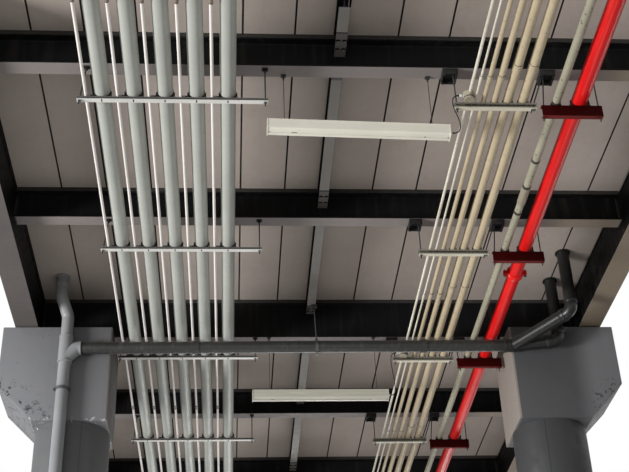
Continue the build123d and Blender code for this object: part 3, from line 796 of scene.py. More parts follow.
def make_rubber(name, tint, scale, dust=0.3):
    """Rubber or dull plastic, worn in patches and dusty."""
    finish = Finish(name, tint, scale)
    finish.lay(darker(tint, 0.5), "Patches", 0.5)
    finish.lay(toward(tint, colours().dust, 0.4), "Mottle", dust)
    finish.done(0.6, 0.15, 0.2, 0.0005, shine=0.25)


def make_drain_paint(name, tint):
    """Paint of the drains, with painted shade on the side of the inlets."""
    dust = colours().dust
    finish = Finish(name, tint, 2.5)
    finish.lay(darker(tint, 0.7), "Patches", 0.45)
    finish.lay(toward(tint, dust, 0.3), "Streaks", 0.25)
    finish.lay(dust, "Up", 0.4)
    finish.lay(darker(tint, 0.4), finish.chips(24.0, 0.24), 0.6)
    # Painted shade on the inlets' side of the drains.
    finish.lay(darker(tint, 0.3), finish.band("X", 1.7, 4.0, 0.15), 0.8)
    finish.done(0.38, 0.12, 0.12, 0.0008, shine=0.4)


def make_red_paint(name, tint):
    """Thick glossy enamel with a slight orange peel, thin dust and a few chips."""
    finish = Finish(name, tint, 2.0, LENGTHWISE)
    finish.lay(darker(tint, 0.7), "Patches", 0.5)
    finish.lay(toward(tint, (0.8, 0.25, 0.2), 0.25), "Streaks", 0.4)
    finish.lay(toward(tint, colours().dust, 0.6), "Up", 0.5)
    finish.lay(darker(tint, 0.3), finish.chips(30.0, 0.2), 0.7)
    peel = noise(finish.tree, finish.where, 55.0, 1.0)
    finish.done(0.36, 0.1, 0.15, 0.001, peel, coat=0.2, coat_rough=0.08, shine=0.15)


# Finish of each CAD node, by the first of these words in its name
NODE_FINISHES = (
    ("_cap_", "Cap paint"), ("column", "Column paint"), ("deck_planks", "Plank concrete"),
    ("deck_topping", "Topping concrete"), ("bearing_", "Bearing rubber"), ("girder", "Girder paint"),
    ("bent_beam", "Bent beam paint"), ("cross_beam", "Beam paint"), ("stringer_cleats", "Cleat paint"),
    ("stringer", "Stringer paint"), ("grey_pipes", "Grey pipe paint"), ("conduit", "Conduit plastic"),
    ("left_rack_bars", "Left strut paint"), ("right_rack_bars", "Right strut paint"),
    ("_hangers", "Hanger black"), ("cream_", "Cream plastic"), ("pale_pipe", "Pale pipe plastic"),
    ("channels", "Maroon paint"),
    ("red_main", "Red enamel"), ("light_fittings", "Light housing paint"), ("light_glands", "Gland plastic"),
    ("light_wires", "Wire zinc"), ("junction_boxes", "Box plastic"), ("light_cable", "Cable rubber"),
    ("drain_supports", "Support zinc"), ("drain_downpipe", "Downpipe paint"), ("drain", "Drain paint"),
)


class BRIDGE_OT_finishes(bpy.types.Operator):
    """Make the paints, concretes and plastics and give each CAD node its own"""
    bl_idname = "bridge.finishes"
    bl_label = "Finishes"

    def execute(self, context):
        tints = colours()
        for make_group in (make_variation_group, make_facing_group, make_chips_group, make_pits_group):
            make_group()
        make_column_paint("Cap paint", tints.cap)
        make_column_paint("Column paint", tints.column)
        make_plank_concrete("Plank concrete", tints.plank, False)
        make_plank_concrete("Topping concrete", tints.topping, True)
        # The girders take the beam paint darkened, as painted shade on the girders.
        make_steel_paint("Girder paint", darker(tints.web, 0.55), darker(tints.soffit, 0.55), "girder_left")
        make_steel_paint("Bent beam paint", tints.web, tints.soffit, "first_bent_beam")
        make_steel_paint("Beam paint", tints.web, tints.soffit, "cross_beam_1")
        make_steel_paint("Stringer paint", tints.web, tints.stringer, "stringer")
        make_steel_paint("Cleat paint", tints.web, darker(tints.stringer, 0.5), "stringer_cleats")
        make_pipe_paint("Grey pipe paint", tints.grey_pipe, darker(tints.grey_pipe, 0.8), 0.45, 0.05,
                        shine=0.2)
        make_pipe_paint("Conduit plastic", tints.conduit, darker(tints.conduit, 0.82), 0.5)
        make_pipe_paint("Coupling plastic", tints.coupling, tints.coupling_dirt, 0.5)
        make_pipe_paint("Cream plastic", tints.cream,
                        toward(darker(tints.cream, 0.75), (0.35, 0.22, 0.15), 0.25), 0.5, scuff=0.36, specks=0.3,
                        thin=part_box("cream_pipes")[0].x)
        make_pipe_paint("Pale pipe plastic", tints.pale, darker(tints.pale, 0.6), 0.5, scuff=0.45, specks=0.8)
        make_pipe_paint("Pale pipe sleeve", toward(tints.pale, (0.2, 0.15, 0.11), 0.5),
                        darker(tints.pale, 0.4), 0.55)
        make_red_paint("Red enamel", tints.red)
        make_channel_paint("Maroon paint", tints.maroon)
        make_fitting_paint("Light housing paint", tints.light)
        make_strut_paint("Left strut paint", tints.bar, 0.15, "left_rack_bars")
        make_strut_paint("Right strut paint", tints.cream_bar, 0.28, "right_rack_bars")
        make_drain_paint("Drain paint", tints.drain)
        make_drain_paint("Downpipe paint", tints.downpipe)
        make_hardware_finish("Hanger black", tints.black, 0.55, 0.0, shine=0.2)
        make_hardware_finish("Threaded rod", darker(tints.zinc, 0.25), 0.5, 0.4, thread=True, shine=0.3)
        make_hardware_finish("Nut zinc", tints.zinc, 0.4, 0.7)
        make_hardware_finish("Wire zinc", darker(tints.zinc, 0.2), 0.5, 0.3, shine=0.2)
        make_hardware_finish("Support zinc", darker(tints.zinc, 0.55), 0.45, 0.5)
        make_hardware_finish("Weld bead", tints.web, 0.5, 0.2, 0.35)
        make_rubber("Bearing rubber", RUBBER, 12.0)
        make_rubber("Cable rubber", darker(RUBBER, 0.2), 60.0, 0.1)
        make_rubber("Clamp liner", (0.018, 0.017, 0.017), 40.0)
        make_rubber("Box plastic", tints.box, 20.0)
        make_rubber("Gland plastic", tints.gland, 60.0)
        make_rubber("Band black", (0.02, 0.02, 0.022), 20.0)
        for name, holder in frame["nodes"].items():
            finish = next(finish for key, finish in NODE_FINISHES if key in name)
            if not holder.material_slots:
                holder.data.materials.append(None)
            for slot in holder.material_slots:
                slot.material = bpy.data.materials[finish]
        return {"FINISHED"}


# Camera and cables

EYE = (-0.757, -12.314, 1.60)
HEADING, CLIMB, LEAN = 4.581, 32.977, -2.258
FOCAL_PIXELS, PHOTO_WIDTH = 1233.4, 629


class BRIDGE_OT_camera(bpy.types.Operator):
    """Set the camera where the photograph was taken, looking up under the deck"""
    bl_idname = "bridge.camera"
    bl_label = "Camera"

    def execute(self, context):
        heading, climb, lean = (math.radians(angle) for angle in (HEADING, CLIMB, LEAN))
        ahead = Vector((math.sin(heading) * math.cos(climb), math.cos(heading) * math.cos(climb),
                        math.sin(climb)))
        level = Vector((math.cos(heading), -math.sin(heading), 0))
        upward = level.cross(ahead)
        right = level * math.cos(lean) + upward * math.sin(lean)
        up = upward * math.cos(lean) - level * math.sin(lean)
        clear_selection()
        bpy.ops.object.camera_add(location=EYE)
        camera = bpy.context.object
        camera.matrix_world = Matrix.Translation(EYE) @ Matrix((right, up, -ahead)).transposed().to_4x4()
        camera.data.sensor_width = 36
        camera.data.lens = FOCAL_PIXELS / PHOTO_WIDTH * camera.data.sensor_width
        camera.data.clip_end = 500
        context.scene.camera = camera
        return {"FINISHED"}


CABLE_SIZE = 0.0075
LIGHT_BEAMS = ((1, -5.7), (3, -1.9), (5, 1.9), (7, 5.7))
BENT_BEAMS = (3, 7)

# Points of a light's cable: across, ahead of the beam's centre line, and up
CABLE_ROUTE = ((0.802, -0.097, 7.000), (0.756, -0.097, 7.000), (0.750, -0.090, 6.908), (0.790, -0.045, 6.850),
               (0.812, 0.000, 6.815), (0.8034, 0.046, 6.7845), (0.7575, 0.046, 6.7858))
CABLE_ROUTE_BENT = ((0.802, -0.097, 7.000), (0.756, -0.097, 7.000), (0.742, -0.097, 6.915),
                    (0.752, -0.096, 6.826), (0.762, -0.095, 6.736), (0.768, -0.093, 6.650),
                    (0.763, -0.092, 6.563), (0.717, -0.092, 6.563))

# Sleeve at a cable's end: radius, and distance from the end
SLEEVE = ((0.0034, 0.0), (0.0070, 0.0), (0.0070, 0.004), (0.0062, 0.006), (0.0060, 0.009),
          (0.0053, 0.010), (0.0052, 0.013), (0.0046, 0.014), (0.0044, 0.020), (0.0034, 0.021))


class BRIDGE_OT_cables(bpy.types.Operator):
    """Hang the cable of each light from its junction box, with a tapered sleeve at both ends"""
    bl_idname = "bridge.cables"
    bl_label = "Light cables"

    def execute(self, context):
        for number, beam_y in LIGHT_BEAMS:
            bent = number in BENT_BEAMS
            route = CABLE_ROUTE_BENT if bent else CABLE_ROUTE
            points = [Vector((x, beam_y + ahead, z)) for x, ahead, z in route]
            line = bpy.data.curves.new(f"cable_{number}", "CURVE")
            line.dimensions = "3D"
            spline = line.splines.new("NURBS")
            spline.points.add(len(points) - 1)
            for place, point in zip(spline.points, points):
                place.co = (*point, 1.0)
            spline.order_u = 3
            spline.use_endpoint_u = True
            spline.resolution_u = 12
            line.bevel_depth = CABLE_SIZE / 2
            line.bevel_resolution = 3
            line.use_fill_caps = True
            line.materials.append(bpy.data.materials["Cable rubber"])
            cable = bpy.data.objects.new(f"hanging_cable_{number}", line)
            context.scene.collection.objects.link(cable)
            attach(cable, "root")
            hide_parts(f"light_cable_{number}")
            sleeves = [turned(f"sleeve_{number}", SLEEVE, end, inner - end, 14, ring=True)
                       for end, inner in ((points[0], points[1]), (points[-1], points[-2]))]
            reliefs = finish_piece(join(f"cable_sleeves_{number}", sleeves), "cable_rubber", "Cable rubber")
        return {"FINISHED"}


# Concrete and steelwork

FORM_LIFTS = (1.8, 3.6, 5.4)
FLANGE = 0.014
PLATE_INSET = 0.008


class BRIDGE_OT_caps(bpy.types.Operator):
    """Column caps with chamfered edges"""
    bl_idname = "bridge.caps"
    bl_label = "Column caps"

    def execute(self, context):
        for node in nodes_with("_cap_"):
            cap = soften(dressed_copy(node.replace("_cap_", "_column_cap_"), node), sizes().cap_arris, 2, 20)
            finish_piece(cap, "column_concrete", "Cap paint", node)
        return {"FINISHED"}


class BRIDGE_OT_columns(bpy.types.Operator):
    """Round columns with the faint ridges of the form's seams and a groove where each lift of it ended"""
    bl_idname = "bridge.columns"
    bl_label = "Columns"

    def execute(self, context):
        for node in nodes_with("_column_"):
            post = whole(node)
            radius, foot, head = post.radius, post.low.z, post.high.z
            side = 1 if post.middle.x > 0 else -1
            outline = [(0.01, foot), (radius - 0.012, foot), (radius, foot + 0.012)]
            for lift in FORM_LIFTS:
                outline += [(radius, lift - 0.006), (radius - 0.003, lift - 0.002),
                            (radius - 0.003, lift + 0.002), (radius, lift + 0.006)]
            outline += [(radius, head), (0.01, head)]
            name = node.replace("_column_", "_round_column_")
            parts = [turned(name, outline, (post.middle.x, post.middle.y, 0), UP, 96)]
            for turn in (-0.35 * side, (math.pi - 0.35) * side):
                spot = (post.middle.x + math.sin(turn) * radius, post.middle.y - math.cos(turn) * radius, 0)
                ends = above(spot, foot + 0.02), above(spot, head - 0.005)
                parts.append(start_rod("form_seam", *ends, 0.003, 8))
            finish_piece(join(name, parts), "column_concrete", "Column paint", node)
        return {"FINISHED"}


class BRIDGE_OT_planks(bpy.types.Operator):
    """Deck planks with a chamfer along every edge"""
    bl_idname = "bridge.planks"
    bl_label = "Deck planks"

    def execute(self, context):
        for node in nodes_with("deck_planks_bay"):
            planks = soften(dressed_copy(node.replace("deck_", "chamfered_"), node), sizes().plank_arris, 1)
            finish_piece(planks, "deck_concrete", "Plank concrete", node)
        return {"FINISHED"}


def round_roots(beam, axis, level, shortest, radius):
    """Round the inner corners between web and flanges; the web stands at a place along one axis."""
    def is_root(edge):
        run = edge.verts[0].co - edge.verts[1].co
        return (not edge.is_convex and edge.calc_face_angle(0) > 0.5 and abs(run[1 - axis]) > shortest
                and abs(middle(edge)[axis] - level) < 0.01)

    pick(beam, "EDGE", is_root)
    bpy.ops.mesh.bevel(offset=radius, segments=3, affect="EDGES")
    leave()


class BRIDGE_OT_beams(bpy.types.Operator):
    """Rolled cross-beams and stringer with root radii, and rounded flange edges on the cross-beams"""
    bl_idname = "bridge.beams"
    bl_label = "Rolled beams"

    def execute(self, context):
        for node in nodes_with("cross_beam"):
            beam = dressed_copy(node.replace("cross_beam", "rolled_beam"), node)
            round_roots(beam, 1, whole(node).middle.y, 1, sizes().root)
            finish_piece(soften(beam, 0.0015, 1, 50), "beam_paint", "Beam paint", node)
        stringer = dressed_copy("rolled_stringer", "stringer")
        round_roots(stringer, 0, 0, 0.2, sizes().root * 0.7)
        finish_piece(stringer, "beam_paint", "Stringer paint", "stringer")
        return {"FINISHED"}


class BRIDGE_OT_box_steel(bpy.types.Operator):
    """Box girders and bent beams: side plates set in between the flanges, with weld beads along the corners"""
    bl_idname = "bridge.box_steel"
    bl_label = "Box girders"

    def execute(self, context):
        for node in ("girder_left", "girder_right", "first_bent_beam", "second_bent_beam"):
            beam = whole(node)
            low, high = beam.low, beam.high
            along = 1 if node.startswith("girder") else 0
            across = 1 - along
            levels = (low.z + FLANGE, high.z - FLANGE)
            name = node.replace("_beam", "_box_beam").replace("girder", "box_girder")
            body = start_block(name, low, high)
            for level in levels:
                pick_all(body)
                bpy.ops.mesh.bisect(plane_co=(0, 0, level), plane_no=UP)
                leave()
            beads = []
            for side, edge in ((1, high), (-1, low)):
                pick(body, "FACE", lambda face: face.normal[across] * side > 0.95
                     and low.z + 0.02 < middle(face).z < high.z - 0.02)
                inward = Vector()
                inward[across] = -PLATE_INSET * side
                extrude_by(inward)
                leave()
                for level in levels:
                    ends = [low.copy(), high.copy()]
                    for end, step in zip(ends, (0.01, -0.01)):
                        end[along] += step
                        end[across] = edge[across] + inward[across]
                        end.z = level
                    beads.append(start_rod("bead", *ends, sizes().weld * 0.7, 8))
            soften(body, 0.002, 1, 50)
            paint = "Girder paint" if along else "Bent beam paint"
            finish_piece(join(name, [body, *beads]), "girder_paint", paint, node)
        return {"FINISHED"}


class BRIDGE_OT_welds(bpy.types.Operator):
    """Weld beads where the cross-beams and bent beams meet the girders"""
    bl_idname = "bridge.welds"
    bl_label = "Beam welds"

    def execute(self, context):
        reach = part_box("girder_right")[0].x - PLATE_INSET
        runs = []
        for x in (-reach, reach):
            for beam in map(whole, nodes_with("cross_beam")):
                low, high, y = beam.low, beam.high, beam.middle.y
                runs += [((x, web, low.z + FLANGE), (x, web, high.z - FLANGE)) for web in (y - 0.004, y + 0.004)]
                runs.append(((x, low.y + 0.004, low.z), (x, high.y - 0.004, low.z)))
            for beam in map(whole, nodes_with("bent_beam")):
                low, high = beam.low, beam.high
                runs += [((x, y, low.z + 0.02), (x, y, high.z - 0.02)) for y in (low.y, high.y)]
        beads = [start_rod("bead", start, end, sizes().weld, 8) for start, end in runs]
        finish_piece(join("beam_welds", beads), "beam_paint", "Weld bead")
        return {"FINISHED"}


class BRIDGE_OT_bolts(bpy.types.Operator):
    """Structural bolts: two under each end of a stringer tie plate, six in each girder's end plate"""
    bl_idname = "bridge.bolts"
    bl_label = "Structural bolts"

    def execute(self, context):
        width = sizes().bolt
        places = [(x, plate.low.y + plate.size.y * share, plate.low.z) for plate in solids("stringer_cleats")
                  for x in (-0.022, 0.022) for share in (0.32, 0.68)]
        master = tipped_nut("tie_bolt", (0, 0, 0), math.pi, width * 0.66, 0.010)
        finish_piece(repeat("tie_plate_bolts", master, places), "beam_paint", "Cleat paint")
        heads = []
        for plate in solids("girder_end_plates"):
            outward, face = (-1, plate.low.y) if plate.middle.y < 0 else (1, plate.high.y)
            for x in (-0.055, 0.055):
                for z in (0.06, 0.1875, 0.315):
                    spot = (plate.middle.x + x, face, plate.low.z + z)
                    heads.append(tipped_nut("end_bolt", spot, -outward * math.pi / 2, width, 0.013))
        finish_piece(join("end_plate_bolts", heads), "girder_paint", "Weld bead")
        return {"FINISHED"}


# Racks

def strut(name, box, opening, lip, slots):
    """Slotted strut lying across the bridge, its open side towards the near end."""
    measures = sizes()
    wall = measures.strut_wall
    low, high = box.low, box.high
    bar = start_block(name, low, high)
    room = start_block("room", (low.x - 0.01, low.y + wall, low.z + wall),
                       (high.x + 0.01, high.y - wall, high.z - wall))
    mouth = start_block("mouth", (low.x - 0.01, low.y - 0.01, box.middle.z - opening / 2),
                        (high.x + 0.01, low.y + wall + 0.001, box.middle.z + opening / 2))
    carve(bar, room, mouth)
    if lip:
        for side in (1, -1):
            level = box.middle.z + side * opening / 2
            bottom, top = sorted((level, level + side * wall))
            bar = join(name, [bar, start_block("lip", (low.x, low.y + wall * 0.5, bottom),
                                               (high.x, low.y + lip, top))])
    reach = (measures.slot_length - measures.slot_width) / 2
    y = box.middle.y
    for x in slots:
        hole = start_rod("slot", (x, y, low.z - 0.005), (x, y, low.z + 0.006), measures.slot_width / 2, 12)
        for side in PAIR:
            pick(hole, "VERT", lambda vertex: (vertex.co.y - y) * side > 0)
            bpy.ops.transform.translate(value=(0, side * reach, 0))
            leave()
        carve(bar, hole)
    return bar


class BRIDGE_OT_struts(bpy.types.Operator):
    """Slotted struts of both racks"""
    bl_idname = "bridge.struts"
    bl_label = "Rack struts"

    def execute(self, context):
        slots = [pipe.middle.x for pipe in solids("grey_pipes")]
        for side, opening, lip, holes in (("left", 0.012, 0.0, slots), ("right", 0.022, 0.009, [])):
            bars = solids(f"{side}_rack_bars")
            master = strut(f"{side}_strut", bars[0], opening, lip, holes)
            finish_piece(repeat(f"{side}_rack_struts", master, offsets_from(bars[0], bars)), "bar_paint",
                         f"{side.title()} strut paint", f"{side}_rack_bars")
        return {"FINISHED"}


class BRIDGE_OT_channels(bpy.types.Operator):
    """Channels under the main, with rounded roots and edges"""
    bl_idname = "bridge.channels"
    bl_label = "Main channels"

    def execute(self, context):
        channel = soften(dressed_copy("rolled_channels", "red_main_channels"), 0.0025)
        finish_piece(channel, "maroon_paint", "Maroon paint", "red_main_channels")
        return {"FINISHED"}


class BRIDGE_OT_left_clamps(bpy.types.Operator):
    """Hoops with rubber liners over the grey pipes, and clips over the thin conduits"""
    bl_idname = "bridge.left_clamps"
    bl_label = "Left rack clamps"

    def execute(self, context):
        measures = sizes()
        bars, pipes = solids("left_rack_bars"), solids("grey_pipes")
        bar, radius = bars[0], pipes[0].radius
        centre = Vector((pipes[0].middle.x, bar.middle.y, pipes[0].middle.z))
        places = rack_offsets(bars, pipes)
        reach = radius + 0.003 + measures.hoop / 2
        parts = [hoop("pipe_hoop", centre, reach, bar.low.z + measures.strut_wall + 0.001, measures.hoop)]
        for side, left, right, rise in ((-1, 0.034, 0.008, 0.014), (1, 0.008, 0.010, 0.004)):
            spot = Vector((centre.x + side * reach, centre.y, bar.high.z + 0.003))
            foot = start_block("foot", spot - Vector((left, 0.016, 0.003)), spot + Vector((right, 0.016, rise)))
            parts += [soften(foot, 0.002),
                      nut("foot_nut", above(spot, rise), measures.hoop * 1.8, measures.hoop * 0.9)]
        finish_piece(repeat("grey_pipe_hoops", join("pipe_hoop", parts), places), "hanger_steel", "Hanger black")
        outline = [(0.0008, 0.0), (0.006, 0.0), (0.006, 0.003), (0.004, 0.005), (0.0008, 0.005)]
        spot = (centre.x - reach - 0.022, centre.y - 0.018, bar.high.z + 0.010)
        head = turned("foot_bolt", outline, spot, (0, -1, 0), 10)
        finish_piece(repeat("foot_bolts", head, places), "wire_steel", "Nut zinc")
        width = measures.liner / 2
        liner = band("pipe_liner", centre, ALONG, radius - 0.001, radius + 0.0026, -width, width, 40)
        finish_piece(repeat("grey_pipe_liners", liner, places), "bearing_rubber", "Clamp liner")
        conduits = solids("thin_conduits")
        radius = conduits[0].radius
        centre = Vector((conduits[0].middle.x, bar.middle.y, conduits[0].middle.z))
        foot = start_block("clip_foot", (centre.x - radius - 0.016, centre.y - 0.009, bar.high.z - 0.001),
                           (centre.x + radius + 0.016, centre.y + 0.009, bar.high.z + 0.0025))
        spot = (centre.x, centre.y, bar.high.z + 0.0035)
        parts = [band("conduit_clip", centre, ALONG, radius - 0.0005, radius + 0.002, -0.009, 0.009, 20),
                 soften(foot, 0.0006, 1), *nuts_beside("clip_screw", spot, radius + 0.010, 0.008, 0.004)]
        finish_piece(repeat("conduit_clips", join("conduit_clip", parts), rack_offsets(bars, conduits)),
                     "hanger_steel", "Hanger black")
        return {"FINISHED"}


class BRIDGE_OT_right_clamps(bpy.types.Operator):
    """Hoops over the cream pipes, the pale pipe and the main, and rubber liners round the pale pipe"""
    bl_idname = "bridge.right_clamps"
    bl_label = "Right rack clamps"

    def execute(self, context):
        rod = sizes().thin_hoop
        bars, channels = solids("right_rack_bars"), solids("red_main_channels")
        bar, channel = bars[0], channels[0]
        made = []
        for pipe in solids("cream_pipes"):
            reach = pipe.radius + 0.001 + rod / 2
            centre = Vector((pipe.middle.x, bar.middle.y, pipe.middle.z))
            parts = [hoop("cream_hoop", centre, reach, bar.high.z - 0.012, rod),
                     *nuts_beside("hoop_nut", (centre.x, centre.y, bar.high.z + 0.0015), reach, 0.011, 0.005)]
            made.append(repeat("cream_hoops", join("cream_hoop", parts), offsets_from(bar, bars)))
        finish_piece(join("cream_pipe_hoops", made), "hanger_steel", "Hanger black")
        made = []
        for node, rod in (("red_main", 0.012), ("pale_pipe", 0.008)):
            pipe = whole(node)
            reach = pipe.radius + 0.001 + rod / 2
            centre = Vector((pipe.middle.x, channel.middle.y - 0.002, pipe.middle.z))
            parts = [hoop("main_hoop", centre, reach, channel.high.z - 0.035, rod)]
            for level in (channel.high.z + 0.002, channel.high.z - 0.022):
                parts += nuts_beside("hoop_nut", (centre.x, centre.y, level), reach, rod * 1.7, rod * 0.8)
            made.append(repeat("main_hoops", join("main_hoop", parts), offsets_from(channel, channels)))
        finish_piece(join("main_and_pale_hoops", made), "hanger_steel", "Hanger black")
        # The pale pipe came last, and it alone has liners
        liner = band("pale_liner", centre, ALONG, pipe.radius - 0.001, pipe.radius + 0.0022, -0.03, 0.03, 32)
        finish_piece(repeat("pale_pipe_liners", liner, offsets_from(channel, channels)), "bearing_rubber",
                     "Clamp liner")
        return {"FINISHED"}


def hanger_rod(name, foot, head, below):
    """Threaded rod through a bar's end, with nuts above and under the bar."""
    measures = sizes()
    foot, head = Vector(foot), Vector(head)
    away = (foot - head).normalized()
    rod = start_rod(name, foot + away * (below + 0.032), head, measures.rod / 2, 12)
    nuts = [nut("rod_nut", above(foot, 0.002), measures.nut, measures.rod * 0.8),
            nut("rod_nut", above(foot, -below - measures.rod * 0.5), measures.nut * 0.8, measures.rod * 0.5)]
    return rod, nuts


def flange_clamp(name, place):
    """Plate under a beam with a hexagon coupler that takes a rod."""
    plate = soften(block_round(name, above(place, -0.003), (0.022, 0.018, 0.003)), 0.0015, 1)
    coupler = start_rod(name, above(place, -0.028), above(place, -0.005), sizes().nut / math.sqrt(3), 6)
    return join(name, [plate, soften(coupler, 0.001, 1),
                       *nuts_beside(name, above(place, -0.012), 0.016, 0.009, 0.005)])


def nearest(bars, y):
    return min(bars, key=lambda bar: abs(bar.middle.y - y))


class BRIDGE_OT_hangers(bpy.types.Operator):
    """Threaded rods, nuts, flange clamps and box brackets that carry the racks"""
    bl_idname = "bridge.hangers"
    bl_label = "Hangers"

    def execute(self, context):
        rods, nuts, painted, clamps, boxes = [], [], [], [], []

        def add(foot, head, bar, where=nuts):
            rod, pair = hanger_rod("rod", foot, head, bar.size.z)
            rods.append(rod)
            where.extend(pair)

        bars = solids("left_rack_bars")
        for hanger in solids("left_rack_hangers"):
            add(hanger.foot, hanger.head, nearest(bars, hanger.foot.y))
            clamps.append(flange_clamp("clamp", hanger.head))
        racks, channels = solids("right_rack_bars"), solids("red_main_channels")
        inset, spread = 0.02, 0.024
        for hanger in solids("right_rack_hangers"):
            rack, channel = nearest(racks, hanger.middle.y), nearest(channels, hanger.middle.y)
            head = hanger.head
            if head.x > channel.middle.x:
                add(hanger.foot, head, channel, painted)
                clamps.append(flange_clamp("clamp", head))
                continue
            half = abs(hanger.high.y - head.y)
            low = head - Vector((0.053, half, 0.05))
            box = start_block("box_bracket", low, head + Vector((0.053, half, 0)))
            sink(box, lambda face: face.normal.z < -0.95, 0.006, (0, 0, 0.042))
            parts = [soften(box, 0.003)]
            for depth in (0.012, 2 * half - 0.012):
                parts += nuts_beside("box_bolt", (head.x, low.y + depth, low.z - 0.003), 0.040, 0.011, 0.005)
            boxes.append(join("box_bracket", parts))
            seats = ([(rack.low.x + inset, rack)] if head.x < rack.middle.x
                     else [(rack.high.x - inset, rack), (channel.low.x + inset, channel)])
            for x, bar in seats:
                lean = spread if x > head.x else -spread
                add((x, rack.middle.y, bar.high.z), (head.x + lean, rack.middle.y, low.z + 0.044), bar,
                    painted if bar is channel else nuts)
        finish_piece(join("threaded_rods", rods), "hanger_steel", "Threaded rod", "left_rack_hangers",
                     "right_rack_hangers")
        for name, parts, paint in (("rod_nuts", nuts, "Nut zinc"), ("channel_nuts", painted, "Maroon paint"),
                                   ("flange_clamps", clamps, "Hanger black"),
                                   ("box_brackets", boxes, "Hanger black")):
            finish_piece(join(name, parts), "hanger_steel", paint)
        return {"FINISHED"}


# Pipes

class BRIDGE_OT_sockets(bpy.types.Operator):
    """Belled sockets of the cream pipes and ringed couplings of the thin conduits"""
    bl_idname = "bridge.sockets"
    bl_label = "Pipe sockets"

    def execute(self, context):
        bells, mouths = [], []
        for socket in solids("cream_sockets"):
            radius, length = socket.radius, socket.size.y
            start = (socket.middle.x, socket.low.y, socket.middle.z)
            inner = radius - 0.005
            outline = [(inner, 0), (radius - 0.0015, 0), (radius, 0.002), (radius, 0.008),
                       (radius - 0.001, 0.011), (radius - 0.001, length * 0.72), (inner + 0.0005, length),
                       (inner, length)]
            bells.append(turned("bell", outline, start, ALONG, 28, ring=True))
            mouths.append(band("mouth", start, ALONG, inner, radius - 0.0012, -0.002, 0.0005, 28))
        finish_piece(join("cream_bells", bells), "cream_plastic", "Cream plastic", "cream_sockets")
        finish_piece(join("cream_bell_mouths", mouths), "cream_plastic", "Band black")
        couplings, lines = [], []
        for socket in solids("conduit_sockets"):
            radius, half = socket.radius, socket.size.y / 2
            inner = radius - 0.005
            near = [(inner, -half), (radius, -half), (radius, -0.006), (radius - 0.001, -0.004)]
            couplings.append(turned("coupling", near + mirrored(near), socket.middle, ALONG, 20, ring=True))
            lines += [band("line", socket.middle, ALONG, inner, radius + 0.0003, far - 0.003, far + 0.003, 20)
                      for far in (-half, half)]
        finish_piece(join("conduit_couplings", couplings), "conduit_plastic", "Coupling plastic",
                     "conduit_sockets")
        finish_piece(join("conduit_coupling_lines", lines), "conduit_plastic", "Band black")
        return {"FINISHED"}


class BRIDGE_OT_pale_joint(bpy.types.Operator):
    """Repair joint of the pale pipe: three dark bands and a thicker sleeve between the last two"""
    bl_idname = "bridge.pale_joint"
    bl_label = "Pale pipe joint"

    def execute(self, context):
        pipe = whole("pale_pipe")
        inner, rim = pipe.radius - 0.001, pipe.radius + 0.003
        bands = []
        for y, half in ((-5.06, 0.012), (-4.73, 0.014), (-4.38, 0.013)):
            near = [(inner, -half), (rim, -half), (rim + 0.0012, -half * 0.5)]
            spot = (pipe.middle.x, y, pipe.middle.z)
            bands.append(turned("band", near + mirrored(near), spot, ALONG, 32, ring=True))
        finish_piece(join("pale_pipe_bands", bands), "pale_plastic", "Band black")
        outline = [(inner, 0), (rim, 0), (rim + 0.0025, 0.012), (rim + 0.0025, 0.19), (rim, 0.215),
                   (inner, 0.215)]
        spot = (pipe.middle.x, -4.715, pipe.middle.z)
        sleeve = turned("pale_pipe_sleeve", outline, spot, ALONG, 40, ring=True)
        finish_piece(sleeve, "pale_plastic", "Pale pipe sleeve")
        return {"FINISHED"}


class BRIDGE_OT_main_couplings(bpy.types.Operator):
    """Grooved couplings of the main: two housings with lugs and bolts"""
    bl_idname = "bridge.main_couplings"
    bl_label = "Main couplings"

    def execute(self, context):
        bodies, bolts = [], []
        for ring in solids("red_main_couplings"):
            radius, half = ring.radius, ring.size.y / 2
            inner = radius - 0.019
            near = [(inner, -half), (inner + 0.006, -half), (radius - 0.004, -half + 0.006),
                    (radius, -half + 0.014)]
            outline = near + [(radius - 0.001, 0.0)] + mirrored(near)
            parts = [turned("housing", outline, ring.middle, ALONG, 40, ring=True)]
            for side in PAIR:
                spot = ring.middle + Vector((side * (radius + 0.006), 0, 0))
                parts += [soften(block_round("lug", above(spot, lift), (0.020, 0.020, 0.009)), 0.005, 3)
                          for lift in (-0.011, 0.011)]
                spot.x += side * 0.006
                bolts += [start_rod("bolt", above(spot, -0.036), above(spot, 0.030), 0.005, 12),
                          nut("bolt_nut", above(spot, 0.021), 0.017, 0.009),
                          nut("bolt_nut", above(spot, -0.030), 0.017, 0.009)]
            bodies.append(join("coupling", parts))
        finish_piece(join("grooved_couplings", bodies), "red_paint", "Red enamel", "red_main_couplings")
        finish_piece(join("coupling_bolts", bolts), "hanger_steel", "Nut zinc")
        return {"FINISHED"}


# Lights

def light_housing(name, length, width, height):
    """Light fitting along X, its top at zero: folded housing, end caps, centre seam and lamp cover."""
    body = start_block(name, (-length / 2 + 0.004, -width / 2, -height), (length / 2 - 0.004, width / 2, 0))
    pick(body, "EDGE", lambda edge: middle(edge).z < -height + 0.001
         and abs(middle(edge).y) > width / 2 - 0.001)
    bpy.ops.mesh.bevel(offset=0.012, segments=4, affect="EDGES")
    bpy.ops.mesh.select_all(action="SELECT")
    bpy.ops.mesh.bisect(plane_co=(0, 0.004, 0), plane_no=ALONG)
    leave()
    sink(body, lambda face: face.normal.z < -0.9 and middle(face).y > 0.004, 0.0008, (0, 0, -0.001))
    sink(body, lambda face: face.normal.y < -0.9, 0.005, (0, 0.0015, 0))
    soften(body, 0.001, 1, 40)
    caps = [soften(start_block("end_cap", (left, -width / 2 - 0.001, -height - 0.0035),
                               (left + 0.007, width / 2 + 0.001, 0.001)), 0.002)
            for left in (-length / 2, length / 2 - 0.007)]
    return join(name, [body, *caps])


